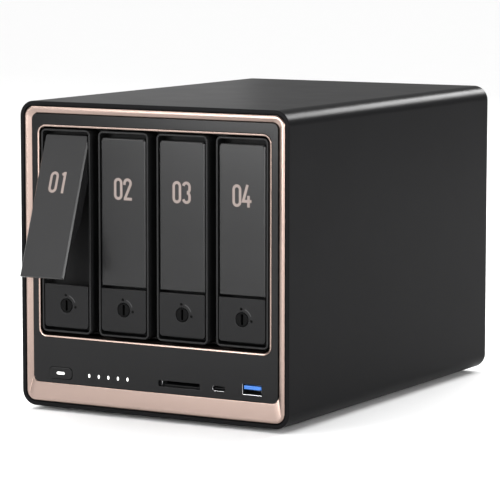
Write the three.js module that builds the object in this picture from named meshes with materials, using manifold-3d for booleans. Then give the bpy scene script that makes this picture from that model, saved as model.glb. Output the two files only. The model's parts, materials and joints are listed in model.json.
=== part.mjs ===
// Four-bay network storage enclosure. Millimetres, +Z up, front face towards -Y.
//
// Inside the model, x = 0 and y = 0 are the middle of the shell and z = 0 is its underside. The
// exported group is moved so that its origin is the bottom centre of the whole object's box.
import * as THREE from "three";
import { mergeVertices } from "three/addons/utils/BufferGeometryUtils.js";
import Module from "manifold-3d";

const wasm = await Module();
wasm.setup();

// ---------------------------------------------------------------------------------------------
// Driving dimensions
// ---------------------------------------------------------------------------------------------

const GAP = 0.3; // clearance between neighbouring pieces
const OVERLAP = 0.2; // how far the solids joined into one piece run into each other

const SHELL = { width: 178, height: 178, depth: 257.5, wall: 2.4, radius: 9 };
const FRONT = -SHELL.depth / 2;
const REAR = SHELL.depth / 2;

const BEZEL = { halfWidth: 81.8, bottom: 13.9, top: 171, radius: 3.7, depth: 4 };
const PANEL = { setback: 0.8, thickness: 3.2 };
const BAY = { halfWidth: 77.5, bottom: 40.9, top: 164.5, radius: 5.3 };
const TRIM = { width: 1.35, setback: 0.5, depth: 8.5 };
const CHASSIS = { front: FRONT + BEZEL.depth + GAP, thickness: 1.5 };

const TRAY = {
  count: 4,
  pitch: 39,
  setback: 0.9,
  width: 33.5,
  bottom: 44.1,
  top: 162.2,
  radius: 3,
  lip: 1.2,
  pocket: 8.5,
  floor: 2,
  railInset: 1.4,
  railWidth: 30,
  railHeight: 6.4,
  grooveWidth: 20,
  grooveHeight: 3.4,
  web: 1.5,
  end: 42,
};
const TRAY_FACE = FRONT + TRAY.setback;
const POCKET_FLOOR = TRAY_FACE + TRAY.pocket;
const RAIL_BOTTOM = TRAY.bottom + TRAY.railInset;
const RAIL_TOP = TRAY.top - TRAY.railInset;
const WEB_WINDOW = { count: 4, pitch: 36, halfLength: 11, margin: 18, radius: 4 };

const HANDLE = { width: 29.9, thickness: 2.4, cornerRadius: 2, edgeRadius: 0.6 };
const LEVER = {
  bottom: 73.4,
  top: 158.5,
  ribDepth: 5.2,
  ribWidth: 1.6,
  ribBottom: 96,
  ribHeelDepth: 3,
  ribHeelHeight: 12,
};
const PIVOT = { y: FRONT + 5, z: 153, pin: 1.7, hole: 1.8, boss: 3.6, reach: 16.3 };
const OPEN_ANGLE = THREE.MathUtils.degToRad(19.4); // how far lever 1 stands open at rest
const RELEASE = { bottom: 47.2, top: 72.2, bossRadius: 5.6, bossDepth: 3.7 };
const POST = { x: 11, width: 3, height: 5 }; // the release button's guide posts
const LOCK = { z: 60.1, radius: 4, bore: 4.3, front: FRONT + 0.7, length: 14.5 };
const CAM = { reach: 7, thickness: 1.5, height: 4 };
const KEYWAY = { width: 1.2, height: 6, depth: 5 };

const CAGE = { front: FRONT + 12.2, rear: 51.7, halfWidth: 79, plate: 2, wall: 1, ribPlay: 0.5 };
const BACKPLANE = { front: 52, thickness: 1.6, top: 163 };
const AIR_SLOT = { offset: 7, width: 12, bottom: 58, top: 148 };
const DRIVE_PORT = { offset: -8, width: 6, length: 12, bottom: 62, top: 105 };
const DRIVE_SLOT = { width: 2.4, depth: 6, margin: 2 };
const BOARD = { bottom: 15.7, thickness: 1.6, halfWidth: 80 };
const BOARD_TOP = BOARD.bottom + BOARD.thickness;
const ON_BOARD = BOARD_TOP + GAP;
const HEATSINK = { width: 60, front: 58, rear: 94, base: 3, height: 15 };
const FIN = { count: 10, pitch: 6.4, thickness: 1.4 };
const MEMORY_SOCKET = { width: 74, front: 16, rear: 24, height: 8 };
// The memory slot's bottom and top, and the card's top, are measured down from the socket's top.
const MEMORY_SLOT = { width: 70.4, rear: 20, bottom: 6.5, top: 4.7 };
const MEMORY = { width: 69.6, front: -10, rear: 19.7, top: 5, thickness: 1.2 };
const CHIP = { count: 4, pitch: 16, width: 11, front: -4, rear: 8, thickness: 1 };

const POWER = { x: -62.7, z: 20.2, width: 15.6, height: 6.7, radius: 2.2, setback: 0.4, thickness: 2.4 };
const POWER_STEM = { width: 8, height: 4, length: 4 };
const LIGHTS = { count: 5, firstX: -43.2, pitch: 6.5, z: 20.1, width: 1.6, height: 2.4, radius: 0.3 };
const LIGHT_BAR = { overhang: 2, halfHeight: 2, depth: 3 };
const CARD = { x0: 3.7, x1: 31, z0: 18.1, z1: 21.5, wall: 0.5, front: CHASSIS.front, depth: 24 };
const USB_C = { x: 43.3, z: 19.8, width: 8.9, height: 3.4, wall: 0.4, depth: 8, radius: 1.6 };
const USB_A = { x: 64.9, width: 13.2, height: 6.6, wall: 0.6, depth: 14, radius: 0.5 };
const SOCKET_SETBACK = PANEL.setback + 0.1; // of the front sockets and lenses
const BACK_WALL = 1; // thickness of a socket's closed end

const REAR_PANEL = { front: 124, thickness: 1.8, airRadius: 67 };
const FAN = {
  size: 140,
  depth: 25,
  z: 103.5,
  radius: 6,
  bore: 66.5,
  holePitch: 124.5,
  holeRadius: 2.15,
  spokeWidth: 4,
  spokeDepth: 3,
};
const ROTOR = { hub: 24, tip: 61, root: 21, blades: 9, depth: 20, chord: 30, thickness: 1.6, pitch: 35 };
const ROTOR_CLEARANCE = 4; // from the fan's front face to the rotor
const FILTER = { size: 139, thickness: 2.3, radius: 6 };
const FILTER_SLOT = { columns: 15, pitch: 8.6, width: 5, rows: 2, rowPitch: 64, halfLength: 29 };
const PORT_FRONT = 108; // where the bodies of the rear sockets begin
const PORT_REAR = REAR_PANEL.front + REAR_PANEL.thickness + 0.5;
// Each hole of a rear socket is its width, its height and its middle above the board.
const SOCKETS = [
  { name: "hdmi_port", x: -56, width: 15.4, height: 6.2, holes: [[14.2, 4.8, 3.1]], depth: 9 },
  {
    name: "rear_usb_stack",
    x: -32,
    width: 14.4,
    height: 15.6,
    holes: [
      [12.5, 5.1, 4.1],
      [12.5, 5.1, 11.5],
    ],
    depth: 11,
  },
  { name: "rear_usb_port", x: -11, width: 14.4, height: 7.2, holes: [[12.5, 5.4, 3.6]], depth: 11 },
  { name: "lan_jack_1", x: 11, width: 16, height: 13.5, holes: [[11.8, 9.5, 6.6]], depth: 13 },
  { name: "lan_jack_2", x: 32, width: 16, height: 13.5, holes: [[11.8, 9.5, 6.6]], depth: 13 },
];
const INLET = { x: 62, width: 10, height: 11, nose: 4.1, window: 4.4, bore: 3.3, z: 5.5, depth: 10 };
const RESET = { x: -74, z: 23, radius: 1.2, hole: 1.5, length: 6, rear: REAR_PANEL.front + 1 };
const CABLE_SLOT = { x: 78, z: 23, width: 3, height: 7, radius: 0.8 };

const MEMORY_HATCH = { halfWidth: 55, halfDepth: 42, radius: 3, thickness: 1.6 };
const FOOT = { x: 58, y: 96, radius: 10, height: 2.5, chamfer: 1 };
const BEYOND = 1; // how far a cutting shape runs past the face that it cuts

// ---------------------------------------------------------------------------------------------
// Finishes
// ---------------------------------------------------------------------------------------------

const FINISHES = {
  anodisedShell: { color: 0x303032, roughness: 0.42, metalness: 0.9 },
  roseGold: { color: 0xcdb3a6, roughness: 0.28, metalness: 1 },
  darkPanel: { color: 0x2b2b2d, roughness: 0.3, metalness: 0.6 },
  steel: { color: 0x8a8d90, roughness: 0.45, metalness: 1 },
  paintedSteel: { color: 0x1a1a1b, roughness: 0.6, metalness: 0.5 },
  blackPlastic: { color: 0x141415, roughness: 0.55, metalness: 0 },
  leverPlastic: { color: 0x4a4a4c, roughness: 0.4, metalness: 0.3 },
  releasePlastic: { color: 0x2c2c2e, roughness: 0.4, metalness: 0.3 },
  lockSteel: { color: 0x3c3c3f, roughness: 0.3, metalness: 1 },
  rubber: { color: 0x111111, roughness: 0.9, metalness: 0 },
  lightPipe: { color: 0xf2f2ee, roughness: 0.3, metalness: 0 },
  board: { color: 0x12351f, roughness: 0.5, metalness: 0 },
  aluminium: { color: 0xb9bbbd, roughness: 0.35, metalness: 1 },
};

// ---------------------------------------------------------------------------------------------
// Outlines, solids and booleans
// ---------------------------------------------------------------------------------------------

const ROUND_SIDES = 16; // sides of pins, bores and other small round shapes
const FEW_SIDES = 12; // sides of the fan's screw holes and the reset button
const FINE_SIDES = 40; // sides of the fan's openings
const CORNER_STEPS = 2; // flats in a small rounded corner

// Points along an arc, in equal steps, both ends included.
function arc(u, v, radius, start, sweep, steps) {
  return Array.from({ length: steps + 1 }, (_, i) => {
    const angle = start + (sweep * i) / steps;
    return [u + radius * Math.cos(angle), v + radius * Math.sin(angle)];
  });
}

// A rounded rectangle from its low and high edges; the two high corners may have their own radius.
function roundedRect(left, right, low, high, radius, steps = CORNER_STEPS, radiusHigh = radius) {
  const quarter = Math.PI / 2;
  return outline([
    ...arc(left + radius, low + radius, radius, 2 * quarter, quarter, steps),
    ...arc(right - radius, low + radius, radius, 3 * quarter, quarter, steps),
    ...arc(right - radiusHigh, high - radiusHigh, radiusHigh, 0, quarter, steps),
    ...arc(left + radiusHigh, high - radiusHigh, radiusHigh, quarter, quarter, steps),
  ]);
}

function rect(left, right, low, high) {
  return outline([
    [left, low],
    [right, low],
    [right, high],
    [left, high],
  ]);
}

function outline(points) {
  return new THREE.Shape(points.map(([u, v]) => new THREE.Vector2(u, v)));
}

function circle(u, v, radius, sides = ROUND_SIDES) {
  return outline(arc(u, v, radius, 0, 2 * Math.PI, sides).slice(0, -1));
}

function withHoles(shape, holes) {
  shape.holes.push(...holes);
  return shape;
}

function extrude(shape, depth) {
  return new THREE.ExtrudeGeometry(shape, { depth, bevelEnabled: false });
}

// An outline in x and z, extruded from y0 to y1.
function alongY(shape, y0, y1) {
  return extrude(shape, y1 - y0).rotateX(Math.PI / 2).translate(0, y1, 0);
}

// An outline in y and z, extruded from x0 to x1.
function alongX(shape, x0, x1) {
  const turn = new THREE.Matrix4().makeBasis(
    new THREE.Vector3(0, 1, 0),
    new THREE.Vector3(0, 0, 1),
    new THREE.Vector3(1, 0, 0),
  );
  return extrude(shape, x1 - x0).applyMatrix4(turn).translate(x0, 0, 0);
}

// An outline in x and y, extruded from z0 to z1.
function alongZ(shape, z0, z1) {
  return extrude(shape, z1 - z0).translate(0, 0, z0);
}

function block(x0, x1, y0, y1, z0, z1) {
  const geometry = new THREE.BoxGeometry(x1 - x0, y1 - y0, z1 - z0);
  return geometry.translate((x0 + x1) / 2, (y0 + y1) / 2, (z0 + z1) / 2);
}

// A block given by its middle in x, its width, and its extents in y and z.
function blockAt(x, width, y0, y1, z0, z1) {
  return block(x - width / 2, x + width / 2, y0, y1, z0, z1);
}

function rodAlongY(x, z, radius, y0, y1, sides = ROUND_SIDES) {
  const geometry = new THREE.CylinderGeometry(radius, radius, y1 - y0, sides);
  return geometry.translate(x, (y0 + y1) / 2, z);
}

function rodAlongX(y, z, radius, x0, x1, sides = ROUND_SIDES) {
  const geometry = new THREE.CylinderGeometry(radius, radius, x1 - x0, sides);
  return geometry.rotateZ(Math.PI / 2).translate((x0 + x1) / 2, y, z);
}

function solidOf(geometry) {
  const bare = geometry.index ? geometry.toNonIndexed() : geometry.clone();
  bare.deleteAttribute("normal");
  bare.deleteAttribute("uv");
  const merged = mergeVertices(bare, 1e-4);
  const mesh = new wasm.Mesh({
    numProp: 3,
    vertProperties: merged.attributes.position.array,
    triVerts: new Uint32Array(merged.index.array),
  });
  return new wasm.Manifold(mesh);
}

function geometryOf(solid) {
  const { vertProperties, triVerts } = solid.getMesh();
  const geometry = new THREE.BufferGeometry();
  geometry.setAttribute("position", new THREE.BufferAttribute(vertProperties, 3));
  geometry.setIndex(new THREE.BufferAttribute(triVerts, 1));
  geometry.computeVertexNormals();
  return geometry;
}

function join(...geometries) {
  return geometryOf(geometries.map(solidOf).reduce((sum, next) => sum.add(next)));
}

function cut(geometry, ...tools) {
  return geometryOf(tools.map(solidOf).reduce((rest, tool) => rest.subtract(tool), solidOf(geometry)));
}

// ---------------------------------------------------------------------------------------------
// Scene graph
// ---------------------------------------------------------------------------------------------

function addPiece(parent, name, finish, geometry) {
  const mesh = new THREE.Mesh(geometry, new THREE.MeshStandardMaterial(FINISHES[finish]));
  mesh.name = name;
  parent.add(mesh);
  return mesh;
}

function addGroup(parent, x = 0, y = 0, z = 0) {
  const group = new THREE.Group();
  group.position.set(x, y, z);
  parent.add(group);
  return group;
}

// The middle of each item in an evenly spaced row about x = 0.
function rowOf(count, pitch) {
  return Array.from({ length: count }, (_, i) => (i - (count - 1) / 2) * pitch);
}

const TRAY_X = rowOf(TRAY.count, TRAY.pitch);

// ---------------------------------------------------------------------------------------------
// Shell, hatch and feet
// ---------------------------------------------------------------------------------------------

function shellOutline(inset) {
  const half = SHELL.width / 2 - inset;
  return roundedRect(-half, half, inset, SHELL.height - inset, SHELL.radius - inset, 6);
}

function hatchOutline(inset) {
  const { halfWidth, halfDepth, radius } = MEMORY_HATCH;
  const x = halfWidth - inset;
  const y = halfDepth - inset;
  return roundedRect(-x, x, -y, y, radius);
}

function addShell(parent) {
  const sleeve = alongY(withHoles(shellOutline(0), [shellOutline(SHELL.wall)]), FRONT, REAR);
  const hatchHole = alongZ(hatchOutline(0), -BEYOND, SHELL.wall + BEYOND);
  addPiece(parent, "outer_shell", "anodisedShell", cut(sleeve, hatchHole));

  const hatchBottom = (SHELL.wall - MEMORY_HATCH.thickness) / 2;
  const hatch = alongZ(hatchOutline(GAP), hatchBottom, hatchBottom + MEMORY_HATCH.thickness);
  addPiece(parent, "memory_cover", "anodisedShell", hatch);
}

// Each foot is a low rubber disc with a chamfered rim.
function addFeet(parent) {
  const { radius, height, chamfer } = FOOT;
  const profile = [
    [0, -height],
    [radius - chamfer, -height],
    [radius, chamfer - height],
    [radius, -GAP],
    [0, -GAP],
  ].map(([r, z]) => new THREE.Vector2(r, z));
  const places = [-1, 1].flatMap((side) => [-1, 1].map((end) => [side * FOOT.x, end * FOOT.y]));
  places.forEach(([x, y], i) => {
    const disc = new THREE.LatheGeometry(profile, ROUND_SIDES).rotateX(Math.PI / 2);
    addPiece(parent, `foot_${i + 1}`, "rubber", disc.translate(x, y, 0));
  });
}

// ---------------------------------------------------------------------------------------------
// Front face
// ---------------------------------------------------------------------------------------------

function bayOutline(grow) {
  const half = BAY.halfWidth + grow;
  return roundedRect(-half, half, BAY.bottom - grow, BAY.top + grow, BAY.radius + grow, 4);
}

function bezelOpening(inset) {
  const half = BEZEL.halfWidth - inset;
  return roundedRect(-half, half, BEZEL.bottom + inset, BEZEL.top - inset, BEZEL.radius - inset, 4);
}

// A rectangle about a point, with corners of the given radius, made larger all round by a margin.
function windowAt(x, z, width, height, radius, margin = 0) {
  const [halfWidth, halfHeight] = [width / 2 + margin, height / 2 + margin];
  return roundedRect(x - halfWidth, x + halfWidth, z - halfHeight, z + halfHeight, radius + margin);
}

const LIGHT_X = Array.from({ length: LIGHTS.count }, (_, i) => LIGHTS.firstX + i * LIGHTS.pitch);
const USB_A_Z = ON_BOARD + USB_A.height / 2;
const LIGHT_SPAN = [LIGHT_X[0] - LIGHT_BAR.overhang, LIGHT_X.at(-1) + LIGHT_BAR.overhang];

function socketWindows() {
  return [
    windowAt(USB_C.x, USB_C.z, USB_C.width, USB_C.height, USB_C.radius, GAP),
    windowAt(USB_A.x, USB_A_Z, USB_A.width, USB_A.height, USB_A.radius, GAP),
  ];
}

function cardWindow(margin) {
  return roundedRect(CARD.x0 - margin, CARD.x1 + margin, CARD.z0 - margin, CARD.z1 + margin, 0.5);
}

function addFrontFace(parent) {
  const bezel = withHoles(shellOutline(SHELL.wall + GAP), [bezelOpening(0)]);
  addPiece(parent, "front_bezel", "roseGold", alongY(bezel, FRONT, FRONT + BEZEL.depth));

  const panel = withHoles(bezelOpening(GAP), [
    bayOutline(GAP),
    windowAt(POWER.x, POWER.z, POWER.width, POWER.height, POWER.radius, GAP),
    ...LIGHT_X.map((x) => windowAt(x, LIGHTS.z, LIGHTS.width, LIGHTS.height, LIGHTS.radius, GAP)),
    cardWindow(0),
    ...socketWindows(),
  ]);
  const panelFront = FRONT + PANEL.setback;
  addPiece(parent, "front_panel", "darkPanel", alongY(panel, panelFront, panelFront + PANEL.thickness));

  const ring = withHoles(bayOutline(0), [bayOutline(-TRIM.width)]);
  const ringFront = FRONT + TRIM.setback;
  addPiece(parent, "bay_trim_ring", "roseGold", alongY(ring, ringFront, ringFront + TRIM.depth));

  const lightWindow = windowAt(
    (LIGHT_SPAN[0] + LIGHT_SPAN[1]) / 2,
    LIGHTS.z,
    LIGHT_SPAN[1] - LIGHT_SPAN[0],
    2 * LIGHT_BAR.halfHeight,
    GAP,
    GAP,
  );
  const plate = withHoles(shellOutline(SHELL.wall + GAP), [
    bayOutline(GAP),
    windowAt(POWER.x, POWER.z, POWER_STEM.width, POWER_STEM.height, GAP, GAP),
    lightWindow,
    cardWindow(CARD.wall + GAP),
    ...socketWindows(),
  ]);
  const plateRear = CHASSIS.front + CHASSIS.thickness;
  addPiece(parent, "front_chassis_plate", "paintedSteel", alongY(plate, CHASSIS.front, plateRear));
}

// The power button is a cap in the panel's window with a stem through the chassis plate.
function addPowerButton(parent) {
  const capFront = FRONT + POWER.setback;
  const capRear = capFront + POWER.thickness;
  const cap = alongY(windowAt(POWER.x, POWER.z, POWER.width, POWER.height, POWER.radius), capFront, capRear);
  const [low, high] = [POWER.z - POWER_STEM.height / 2, POWER.z + POWER_STEM.height / 2];
  const stemRear = capRear + POWER_STEM.length;
  const stem = blockAt(POWER.x, POWER_STEM.width, capRear - OVERLAP, stemRear, low, high);
  addPiece(parent, "power_button", "darkPanel", join(cap, stem));
}

// One clear moulding carries light from the board to the five lenses in the panel.
function addLightGuide(parent) {
  const barFront = CHASSIS.front + CHASSIS.thickness + GAP;
  const lensFront = FRONT + SOCKET_SETBACK;
  const { halfHeight, depth } = LIGHT_BAR;
  const [low, high] = [LIGHTS.z - halfHeight, LIGHTS.z + halfHeight];
  const bar = block(...LIGHT_SPAN, barFront, barFront + depth, low, high);
  const lenses = LIGHT_X.map((x) =>
    alongY(windowAt(x, LIGHTS.z, LIGHTS.width, LIGHTS.height, LIGHTS.radius), lensFront, barFront + OVERLAP),
  );
  addPiece(parent, "status_light_guide", "lightPipe", join(bar, ...lenses));
}

function addFrontSockets(parent) {
  const cardBody = block(
    CARD.x0 - CARD.wall,
    CARD.x1 + CARD.wall,
    CARD.front,
    CARD.front + CARD.depth,
    CARD.z0 - CARD.wall,
    CARD.z1 + CARD.wall,
  );
  const cardSpace = block(
    CARD.x0,
    CARD.x1,
    CARD.front - BEYOND,
    CARD.front + CARD.depth - BACK_WALL,
    CARD.z0,
    CARD.z1,
  );
  addPiece(parent, "sd_card_slot", "blackPlastic", cut(cardBody, cardSpace));

  const front = FRONT + SOCKET_SETBACK;
  const { x, z, width, height, radius, wall, depth } = USB_C;
  const shell = alongY(windowAt(x, z, width, height, radius), front, front + depth);
  const space = alongY(
    windowAt(x, z, width, height, radius, -wall),
    front - BEYOND,
    front + depth - BACK_WALL,
  );
  addPiece(parent, "front_usb_c_port", "steel", cut(shell, space));

  const inner = USB_A.width - 2 * USB_A.wall;
  const body = blockAt(USB_A.x, USB_A.width, front, front + USB_A.depth, ON_BOARD, ON_BOARD + USB_A.height);
  const mouth = blockAt(
    USB_A.x,
    inner,
    front - BEYOND,
    front + USB_A.depth - BACK_WALL,
    ON_BOARD + USB_A.wall,
    ON_BOARD + USB_A.height - USB_A.wall,
  );
  addPiece(parent, "front_usb_a_port", "steel", cut(body, mouth));
}

// ---------------------------------------------------------------------------------------------
// Trays, levers, release buttons and locks
// ---------------------------------------------------------------------------------------------

// One rail: a channel whose groove faces the cage and runs on its guide rib.
function railOutline(outer, inner, grooveFloor) {
  const half = TRAY.railWidth / 2;
  const groove = TRAY.grooveWidth / 2;
  return outline([
    [-half, outer],
    [-groove, outer],
    [-groove, grooveFloor],
    [groove, grooveFloor],
    [groove, outer],
    [half, outer],
    [half, inner],
    [-half, inner],
  ]);
}

function trayGeometry() {
  const half = TRAY.width / 2;
  const inner = half - TRAY.lip;
  const face = () => roundedRect(-half, half, TRAY.bottom, TRAY.top, TRAY.radius, 3);
  const pocket = roundedRect(-inner, inner, TRAY.bottom + TRAY.lip, TRAY.top - TRAY.lip, 1.8);
  const floorRear = POCKET_FLOOR + TRAY.floor;
  const frame = alongY(withHoles(face(), [pocket]), TRAY_FACE, POCKET_FLOOR + OVERLAP);
  const postHole = (side) => windowAt(side * POST.x, LOCK.z, POST.width, POST.height, 0.1, GAP);
  const floorHoles = [circle(0, LOCK.z, LOCK.bore + GAP), postHole(-1), postHole(1)];
  const floor = alongY(withHoles(face(), floorHoles), POCKET_FLOOR, floorRear);

  const railStart = floorRear - OVERLAP;
  const lowRail = railOutline(RAIL_BOTTOM, RAIL_BOTTOM + TRAY.railHeight, RAIL_BOTTOM + TRAY.grooveHeight);
  const highRail = railOutline(RAIL_TOP, RAIL_TOP - TRAY.railHeight, RAIL_TOP - TRAY.grooveHeight);

  const webLow = RAIL_BOTTOM + TRAY.railHeight - OVERLAP;
  const webHigh = RAIL_TOP - TRAY.railHeight + OVERLAP;
  const { count, pitch, halfLength, margin, radius } = WEB_WINDOW;
  const windows = rowOf(count, pitch).map((offset) => {
    const middle = (railStart + TRAY.end) / 2 + offset;
    return roundedRect(middle - halfLength, middle + halfLength, webLow + margin, webHigh - margin, radius);
  });
  const web = withHoles(rect(railStart, TRAY.end, webLow, webHigh), windows);
  const webLeft = -TRAY.railWidth / 2;
  const body = join(
    frame,
    floor,
    alongY(lowRail, railStart, TRAY.end),
    alongY(highRail, railStart, TRAY.end),
    alongX(web, webLeft, webLeft + TRAY.web),
  );
  return cut(body, rodAlongX(PIVOT.y, PIVOT.z, PIVOT.hole, -half - BEYOND, half + BEYOND));
}

// The lever in its pivot's frame: a flat handle, two ribs that reach the pivot, and two pins.
function leverGeometry() {
  const half = HANDLE.width / 2;
  const faceY = TRAY_FACE - PIVOT.y;
  const bottom = LEVER.bottom - PIVOT.z;
  const top = LEVER.top - PIVOT.z;
  const plate = alongY(
    roundedRect(-half, half, bottom, top, HANDLE.edgeRadius, CORNER_STEPS, HANDLE.cornerRadius),
    faceY,
    faceY + HANDLE.thickness,
  );
  const ribFront = faceY + HANDLE.thickness - OVERLAP;
  const ribRear = faceY + HANDLE.thickness + LEVER.ribDepth;
  const ribLow = LEVER.ribBottom - PIVOT.z;
  const pieces = [plate];
  for (const side of [-1, 1]) {
    const [x0, x1] = [side * half, side * (half - LEVER.ribWidth)].sort((a, b) => a - b);
    const ribOutline = outline([
      [ribFront, ribLow],
      [ribRear - LEVER.ribHeelDepth, ribLow],
      [ribRear, ribLow + LEVER.ribHeelHeight],
      [ribRear, -PIVOT.boss],
      [ribFront + 2, 0],
      [ribFront, 0],
    ]);
    const [p0, p1] = [side * (half - LEVER.ribWidth), side * PIVOT.reach].sort((a, b) => a - b);
    pieces.push(alongX(ribOutline, x0, x1), rodAlongX(0, 0, PIVOT.boss, x0, x1));
    pieces.push(rodAlongX(0, 0, PIVOT.pin, p0, p1));
  }
  return join(...pieces);
}

// The release button: a panel with a boss round the lock and two guide posts through the tray.
function releaseGeometry() {
  const half = HANDLE.width / 2;
  const rear = TRAY_FACE + HANDLE.thickness;
  const plateOutline = roundedRect(
    -half,
    half,
    RELEASE.bottom,
    RELEASE.top,
    HANDLE.cornerRadius,
    CORNER_STEPS,
    HANDLE.edgeRadius,
  );
  const plate = alongY(plateOutline, TRAY_FACE, rear);
  const boss = rodAlongY(0, LOCK.z, RELEASE.bossRadius, rear - OVERLAP, rear + RELEASE.bossDepth);
  const [postLow, postHigh] = [LOCK.z - POST.height / 2, LOCK.z + POST.height / 2];
  const posts = [-1, 1].map((side) =>
    blockAt(side * POST.x, POST.width, rear - OVERLAP, POCKET_FLOOR + TRAY.floor, postLow, postHigh),
  );
  return cut(
    join(plate, boss, ...posts),
    rodAlongY(0, LOCK.z, LOCK.bore, TRAY_FACE - BEYOND, rear + RELEASE.bossDepth + BEYOND),
  );
}

// The lock: a barrel with a keyway in its face and a cam at its rear end.
function lockGeometry() {
  const rear = LOCK.front + LOCK.length;
  const barrel = rodAlongY(0, LOCK.z, LOCK.radius, LOCK.front, rear);
  const camHalf = CAM.height / 2;
  const cam = block(0, CAM.reach, rear - CAM.thickness, rear, LOCK.z - camHalf, LOCK.z + camHalf);
  const keyHalf = KEYWAY.height / 2;
  const keyRear = LOCK.front + KEYWAY.depth;
  const [keyLow, keyHigh] = [LOCK.z - keyHalf, LOCK.z + keyHalf];
  const keyway = blockAt(0, KEYWAY.width, LOCK.front - BEYOND, keyRear, keyLow, keyHigh);
  return cut(join(barrel, cam), keyway);
}

function addTray(parent, number, x) {
  const group = addGroup(parent, x);
  addPiece(group, `tray_${number}`, "blackPlastic", trayGeometry());
  addPiece(group, `release_button_${number}`, "releasePlastic", releaseGeometry());
  addPiece(group, `lock_cylinder_${number}`, "lockSteel", lockGeometry());
  const hinge = addGroup(group, 0, PIVOT.y, PIVOT.z);
  addPiece(hinge, `lever_${number}`, "leverPlastic", leverGeometry());
  return hinge;
}

// ---------------------------------------------------------------------------------------------
// Drive cage, backplane and boards
// ---------------------------------------------------------------------------------------------

// A cage plate with one guide rib for each tray; the ribs stand on the side towards the trays.
function cagePlate(outerZ, innerZ, ribZ) {
  const { front, rear, halfWidth } = CAGE;
  const [bottom, top] = [outerZ, innerZ].sort((a, b) => a - b);
  const plate = block(-halfWidth, halfWidth, front, rear, bottom, top);
  const ribHalf = TRAY.grooveWidth / 2 - CAGE.ribPlay;
  const inward = Math.sign(ribZ - innerZ);
  const ribs = TRAY_X.map((x) => {
    const [z0, z1] = [innerZ - inward * OVERLAP, ribZ].sort((a, b) => a - b);
    return block(x - ribHalf, x + ribHalf, front, rear, z0, z1);
  });
  return join(plate, ...ribs);
}

function addCage(parent) {
  const baseTop = RAIL_BOTTOM - GAP;
  const ceiling = RAIL_TOP + GAP;
  const ribHeight = TRAY.grooveHeight - CAGE.ribPlay;
  const base = cagePlate(baseTop - CAGE.plate, baseTop, baseTop + ribHeight);
  const top = cagePlate(ceiling + CAGE.plate, ceiling, ceiling - ribHeight);
  addPiece(parent, "cage_base", "blackPlastic", base);
  addPiece(parent, "cage_top", "blackPlastic", top);
  rowOf(TRAY.count + 1, TRAY.pitch).forEach((x, i) => {
    const wall = blockAt(x, CAGE.wall, CAGE.front, CAGE.rear, baseTop + GAP, ceiling - GAP);
    addPiece(parent, `cage_wall_${i + 1}`, "paintedSteel", wall);
  });
}

function addBackplane(parent) {
  const { front, thickness, top } = BACKPLANE;
  const board = block(-CAGE.halfWidth, CAGE.halfWidth, front, front + thickness, ON_BOARD, top);
  const rear = front + thickness;
  const airSlots = TRAY_X.map((x) => {
    const middle = x + AIR_SLOT.offset;
    return blockAt(middle, AIR_SLOT.width, front - BEYOND, rear + BEYOND, AIR_SLOT.bottom, AIR_SLOT.top);
  });
  addPiece(parent, "backplane_board", "board", cut(board, ...airSlots));

  // Each drive connector is a block with an L-shaped tongue slot, taken here as one slot.
  const { offset, width, length, bottom } = DRIVE_PORT;
  const portRear = front - GAP;
  const portFront = portRear - length;
  const slotLow = bottom + DRIVE_SLOT.margin;
  const slotHigh = DRIVE_PORT.top - DRIVE_SLOT.margin;
  TRAY_X.forEach((x, i) => {
    const body = blockAt(x + offset, width, portFront, portRear, bottom, DRIVE_PORT.top);
    const slotRear = portFront + DRIVE_SLOT.depth;
    const slot = blockAt(x + offset, DRIVE_SLOT.width, portFront - BEYOND, slotRear, slotLow, slotHigh);
    addPiece(parent, `sata_connector_${i + 1}`, "blackPlastic", cut(body, slot));
  });
}

function addMainboard(parent) {
  const boardFront = CHASSIS.front + CHASSIS.thickness + GAP;
  const board = block(
    -BOARD.halfWidth,
    BOARD.halfWidth,
    boardFront,
    REAR_PANEL.front - GAP,
    BOARD.bottom,
    BOARD_TOP,
  );
  addPiece(parent, "mainboard", "board", board);

  const { front, rear } = HEATSINK;
  const baseTop = ON_BOARD + HEATSINK.base;
  const fins = rowOf(FIN.count, FIN.pitch).map((x) =>
    blockAt(x, FIN.thickness, front, rear, baseTop - OVERLAP, ON_BOARD + HEATSINK.height),
  );
  const base = blockAt(0, HEATSINK.width, front, rear, ON_BOARD, baseTop);
  addPiece(parent, "cpu_heatsink", "aluminium", join(base, ...fins));
}

// The memory hangs under the mainboard, over the hatch in the shell.
function addMemory(parent) {
  const top = BOARD.bottom - GAP;
  const { width, front, rear, height } = MEMORY_SOCKET;
  const slotLow = top - MEMORY_SLOT.bottom;
  const slotHigh = top - MEMORY_SLOT.top;
  const body = blockAt(0, width, front, rear, top - height, top);
  const slot = blockAt(0, MEMORY_SLOT.width, front - BEYOND, MEMORY_SLOT.rear, slotLow, slotHigh);
  addPiece(parent, "memory_socket", "blackPlastic", cut(body, slot));

  const cardTop = top - MEMORY.top;
  const cardBottom = cardTop - MEMORY.thickness;
  const card = blockAt(0, MEMORY.width, MEMORY.front, MEMORY.rear, cardBottom, cardTop);
  const chips = rowOf(CHIP.count, CHIP.pitch).map((x) =>
    blockAt(x, CHIP.width, CHIP.front, CHIP.rear, cardBottom - CHIP.thickness, cardBottom + OVERLAP),
  );
  addPiece(parent, "memory_module", "board", join(card, ...chips));
}

// ---------------------------------------------------------------------------------------------
// Rear: panel, sockets, fan and filter
// ---------------------------------------------------------------------------------------------

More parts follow.
